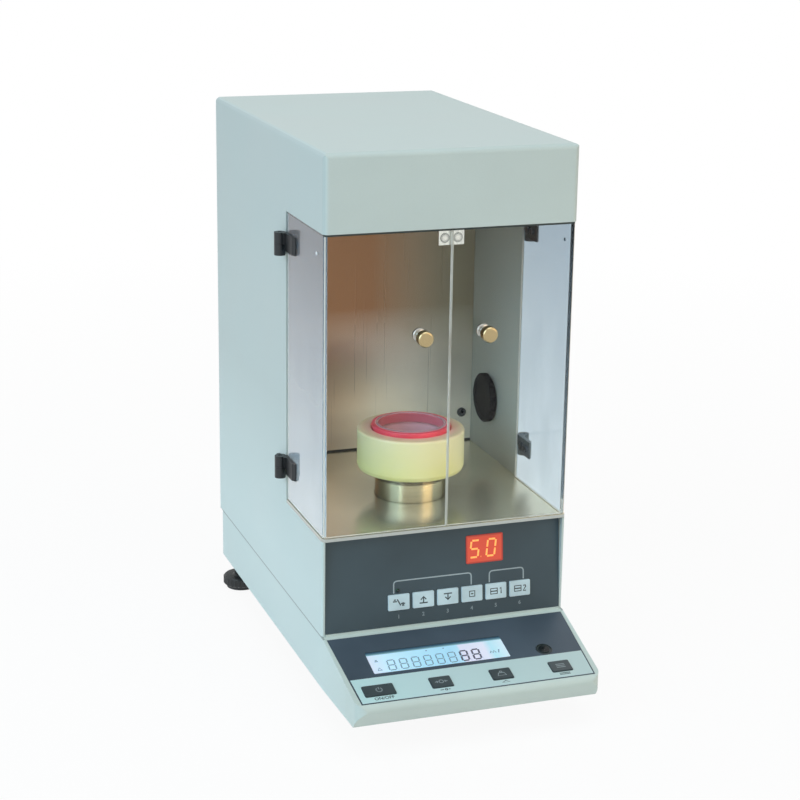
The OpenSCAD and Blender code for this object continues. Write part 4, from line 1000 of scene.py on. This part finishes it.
class TENSIOMETER_OT_inside(Operator):
    """Finishes of the lift, the weighing beam and the electronics"""
    bl_idname = "tensiometer.inside"
    bl_label = "Inside Finish"

    def execute(self, context):
        dress(circuit_board(), "key_board", "console_board", "main_board")
        # Turned bronze is brown-gold and ground steel bluish, both ringed by their tools.
        dress(turned_metal("guide_bronze", "a98f4e", stage, 0.3), "column_guide")
        dress(turned_metal("screw_ground_steel", "b8bcbe", stage, 0.22), "lead_screw", "guide_rods")
        # Milled aluminium: pale grey, with the lines of the cutter.
        milled = brushed("carriage_aluminium", "a0a5a8", (2, 33, 2), 0.34)
        dress(milled, "lift_carriage", "lift_frame")
        dress(brushed("beam_aluminium", "b4b8ba", (50, 1.4, 1.4), 0.32), "force_sensor")
        # Galvanised steel case: grey spangle in broad patches.
        dress(brushed("supply_galvanised", "aab0ae", 25, 0.42), "power_supply")
        # Sprayed enamel: dark grey and satin.
        dress(moulded("motor_enamel", "3c4043", 0.4), "lift_motor")
        return {"FINISHED"}


class TENSIOMETER_OT_rear(Operator):
    """The mains inlet and its switch, with the two plain marks on the rocker"""
    bl_idname = "tensiometer.rear"
    bl_label = "Rear Fittings"

    def execute(self, context):
        # Moulded nylon: black, satin on the inlet and smoother on the rocker.
        dress(moulded("inlet_nylon", "26292b", 0.42), "inlet_socket")
        dress(moulded("rocker_nylon", "1d1f21", 0.32), "power_rocker")
        ink = panel_film("rocker_ink", "d4d8d8", 0.5)
        about_face = Matrix.Rotation(math.pi, 4, "Z")
        marks = {
            "rocker_on_mark": (312.79, 63.45, 105.5, [(0, -1.6), (0, 1.6)]),
            "rocker_off_mark": (311.53, 54.44, 90.5, arc(0, 0, 1.5)),
        }
        for name, (y, z, lean, stroke) in marks.items():
            tilt = Matrix.Rotation(math.radians(lean), 4, "X")
            face = instrument_frame(-58, y, z) @ about_face @ tilt
            printed_lines(name, face, [stroke], 0.5, ink, "rocker", "power_rocker", 0.04)
        return {"FINISHED"}


def seen_rays(tree):
    """1 for a ray that shows the background: straight, mirrored or through glass."""
    path = add(tree, "LightPath", out=None)
    shown = add(tree, "Math MAXIMUM", path["Is Camera Ray"], path["Is Transmission Ray"])
    return add(tree, "Math MAXIMUM", shown, path["Is Glossy Ray"])


class TENSIOMETER_OT_studio(Operator):
    """A pale floor, soft lamps and the camera"""
    bl_idname = "tensiometer.studio"
    bl_label = "Studio"

    # Place, size, power and colour of each soft lamp, in metres and watts.
    LAMPS = {
        "key_lamp": ((-1.9, -0.9, 1.2), (0, 0, 0.15), 1.6, 25, "c8e8ff"),
        "fill_lamp": ((1.5, -1.9, 1.0), (0, 0, 0.2), 1.4, 11, "ffdcae"),
        "top_lamp": ((0.1, -0.3, 2.4), (0, 0, 0.2), 1.6, 14, "eefaff"),
    }
    # The photograph's camera, solved from straight edges.
    CAMERA_PLACE = (-0.5087, -1.4386, 0.6586)
    AZIMUTH, ELEVATION, ROLL = (math.radians(angle) for angle in (19.52, 16.28, 0.88))

    def floor(self, context):
        """Matt painted board that fades into the white of the backdrop."""
        colour = context.scene.tensiometer_colours.floor
        mat, tree, shader = surface("studio_floor", colour, 0.7)
        drift = add(tree, "TexNoise", {"Vector": where(tree, 330), "Scale": 1, "Detail": 2})
        feed(shader, {"Base Color": coats(tree, rgba(colour, 0.99), (drift, rgba(colour, 1.01)))})
        glow = add(tree, "Emission", {"Color": "ffffff"})
        away = add(tree, "VectorMath LENGTH", where(tree), out="Value")
        fade = add(tree, "MapRange", away, 0.4, 1.6, 0.92, 1)
        share = add(tree, "Math MULTIPLY", seen_rays(tree), fade)
        both = add(tree, "MixShader", share, shader.outputs[0], glow)
        feed(tree.nodes["Material Output"], {"Surface": both})
        shape = bmesh.new()
        bmesh.ops.create_grid(shape, x_segments=2, y_segments=2, size=4.0)
        mesh = bpy.data.meshes.new("studio_floor")
        shape.to_mesh(mesh)
        shape.free()
        mesh.materials.append(mat)
        plane = bpy.data.objects.new("studio_floor", mesh)
        bpy.context.scene.collection.objects.link(plane)

    def world(self):
        """Dim daylight from all sides, in front of a white backdrop."""
        sky = bpy.data.worlds.new("studio_world")
        bpy.context.scene.world = sky
        sky.use_nodes = True
        tree = sky.node_tree
        room = tree.nodes["Background"]
        feed(room, {"Color": "eef1f2", "Strength": 0.5})
        white = add(tree, "Background", {"Color": "ffffff"})
        both = add(tree, "MixShader", seen_rays(tree), room.outputs[0], white)
        feed(tree.nodes["World Output"], {"Surface": both})

    def lamp(self, name, place, target, size, power, colour):
        light = bpy.data.lights.new(name, "AREA")
        light.shape = "RECTANGLE"
        light.size = light.size_y = size
        light.energy = power
        light.color = linear(colour)
        lamp = bpy.data.objects.new(name, light)
        bpy.context.scene.collection.objects.link(lamp)
        aim = (Vector(target) - Vector(place)).to_track_quat("-Z", "Y")
        lamp.matrix_world = Matrix.Translation(place) @ aim.to_matrix().to_4x4()

    def camera(self):
        level = math.cos(self.ELEVATION)
        forward = Vector((math.sin(self.AZIMUTH) * level, math.cos(self.AZIMUTH) * level,
                          -math.sin(self.ELEVATION)))
        right = forward.cross(Vector((0, 0, 1))).normalized()
        up = right.cross(forward)
        cosine, sine = math.cos(self.ROLL), math.sin(self.ROLL)
        right, up = cosine * right + sine * up, cosine * up - sine * right
        lens = bpy.data.cameras.new("camera")
        lens.lens = 88.0
        lens.sensor_width = 36.0
        seat = bpy.data.objects.new("camera", lens)
        bpy.context.scene.collection.objects.link(seat)
        turn = Matrix((right, up, -forward)).transposed().to_4x4()
        seat.matrix_world = Matrix.Translation(self.CAMERA_PLACE) @ turn
        bpy.context.scene.camera = seat

    def execute(self, context):
        self.floor(context)
        self.world()
        for name, setting in self.LAMPS.items():
            self.lamp(name, *setting)
        self.camera()
        bpy.context.scene.view_settings.view_transform = "Standard"
        return {"FINISHED"}


ORDER = [
    TENSIOMETER_OT_cabinet, TENSIOMETER_OT_chamber, TENSIOMETER_OT_doors, TENSIOMETER_OT_bumpers,
    TENSIOMETER_OT_stage, TENSIOMETER_OT_control_panel, TENSIOMETER_OT_panel_lines,
    TENSIOMETER_OT_speed_digits, TENSIOMETER_OT_lift_marks, TENSIOMETER_OT_console,
    TENSIOMETER_OT_result_digits, TENSIOMETER_OT_console_marks, TENSIOMETER_OT_level_bubble,
    TENSIOMETER_OT_inside, TENSIOMETER_OT_rear, TENSIOMETER_OT_studio,
]


class TENSIOMETER_PT_sidebar(Panel):
    """Lists the steps that dress the instrument."""
    bl_idname = "TENSIOMETER_PT_sidebar"
    bl_label = "Surface Tensiometer"
    bl_space_type = "VIEW_3D"
    bl_region_type = "UI"
    bl_category = "Tensiometer"

    def draw(self, context):
        column = self.layout.column(align=True)
        for group in (context.scene.tensiometer_sizes, context.scene.tensiometer_colours):
            for name in group.__annotations__:
                column.prop(group, name)
        for step in ORDER:
            column.operator(step.bl_idname)


CLASSES = [TensiometerSizes, TensiometerColours, *ORDER, TENSIOMETER_PT_sidebar]


def register():
    for made in CLASSES:
        bpy.utils.register_class(made)
    bpy.types.Scene.tensiometer_sizes = PointerProperty(type=TensiometerSizes)
    bpy.types.Scene.tensiometer_colours = PointerProperty(type=TensiometerColours)


def unregister():
    del bpy.types.Scene.tensiometer_sizes
    del bpy.types.Scene.tensiometer_colours
    for made in reversed(CLASSES):
        bpy.utils.unregister_class(made)


def main():
    register()
    for step in ORDER:
        group, name = step.bl_idname.split(".")
        getattr(getattr(bpy.ops, group), name)()


if __name__ == "__main__":
    main()
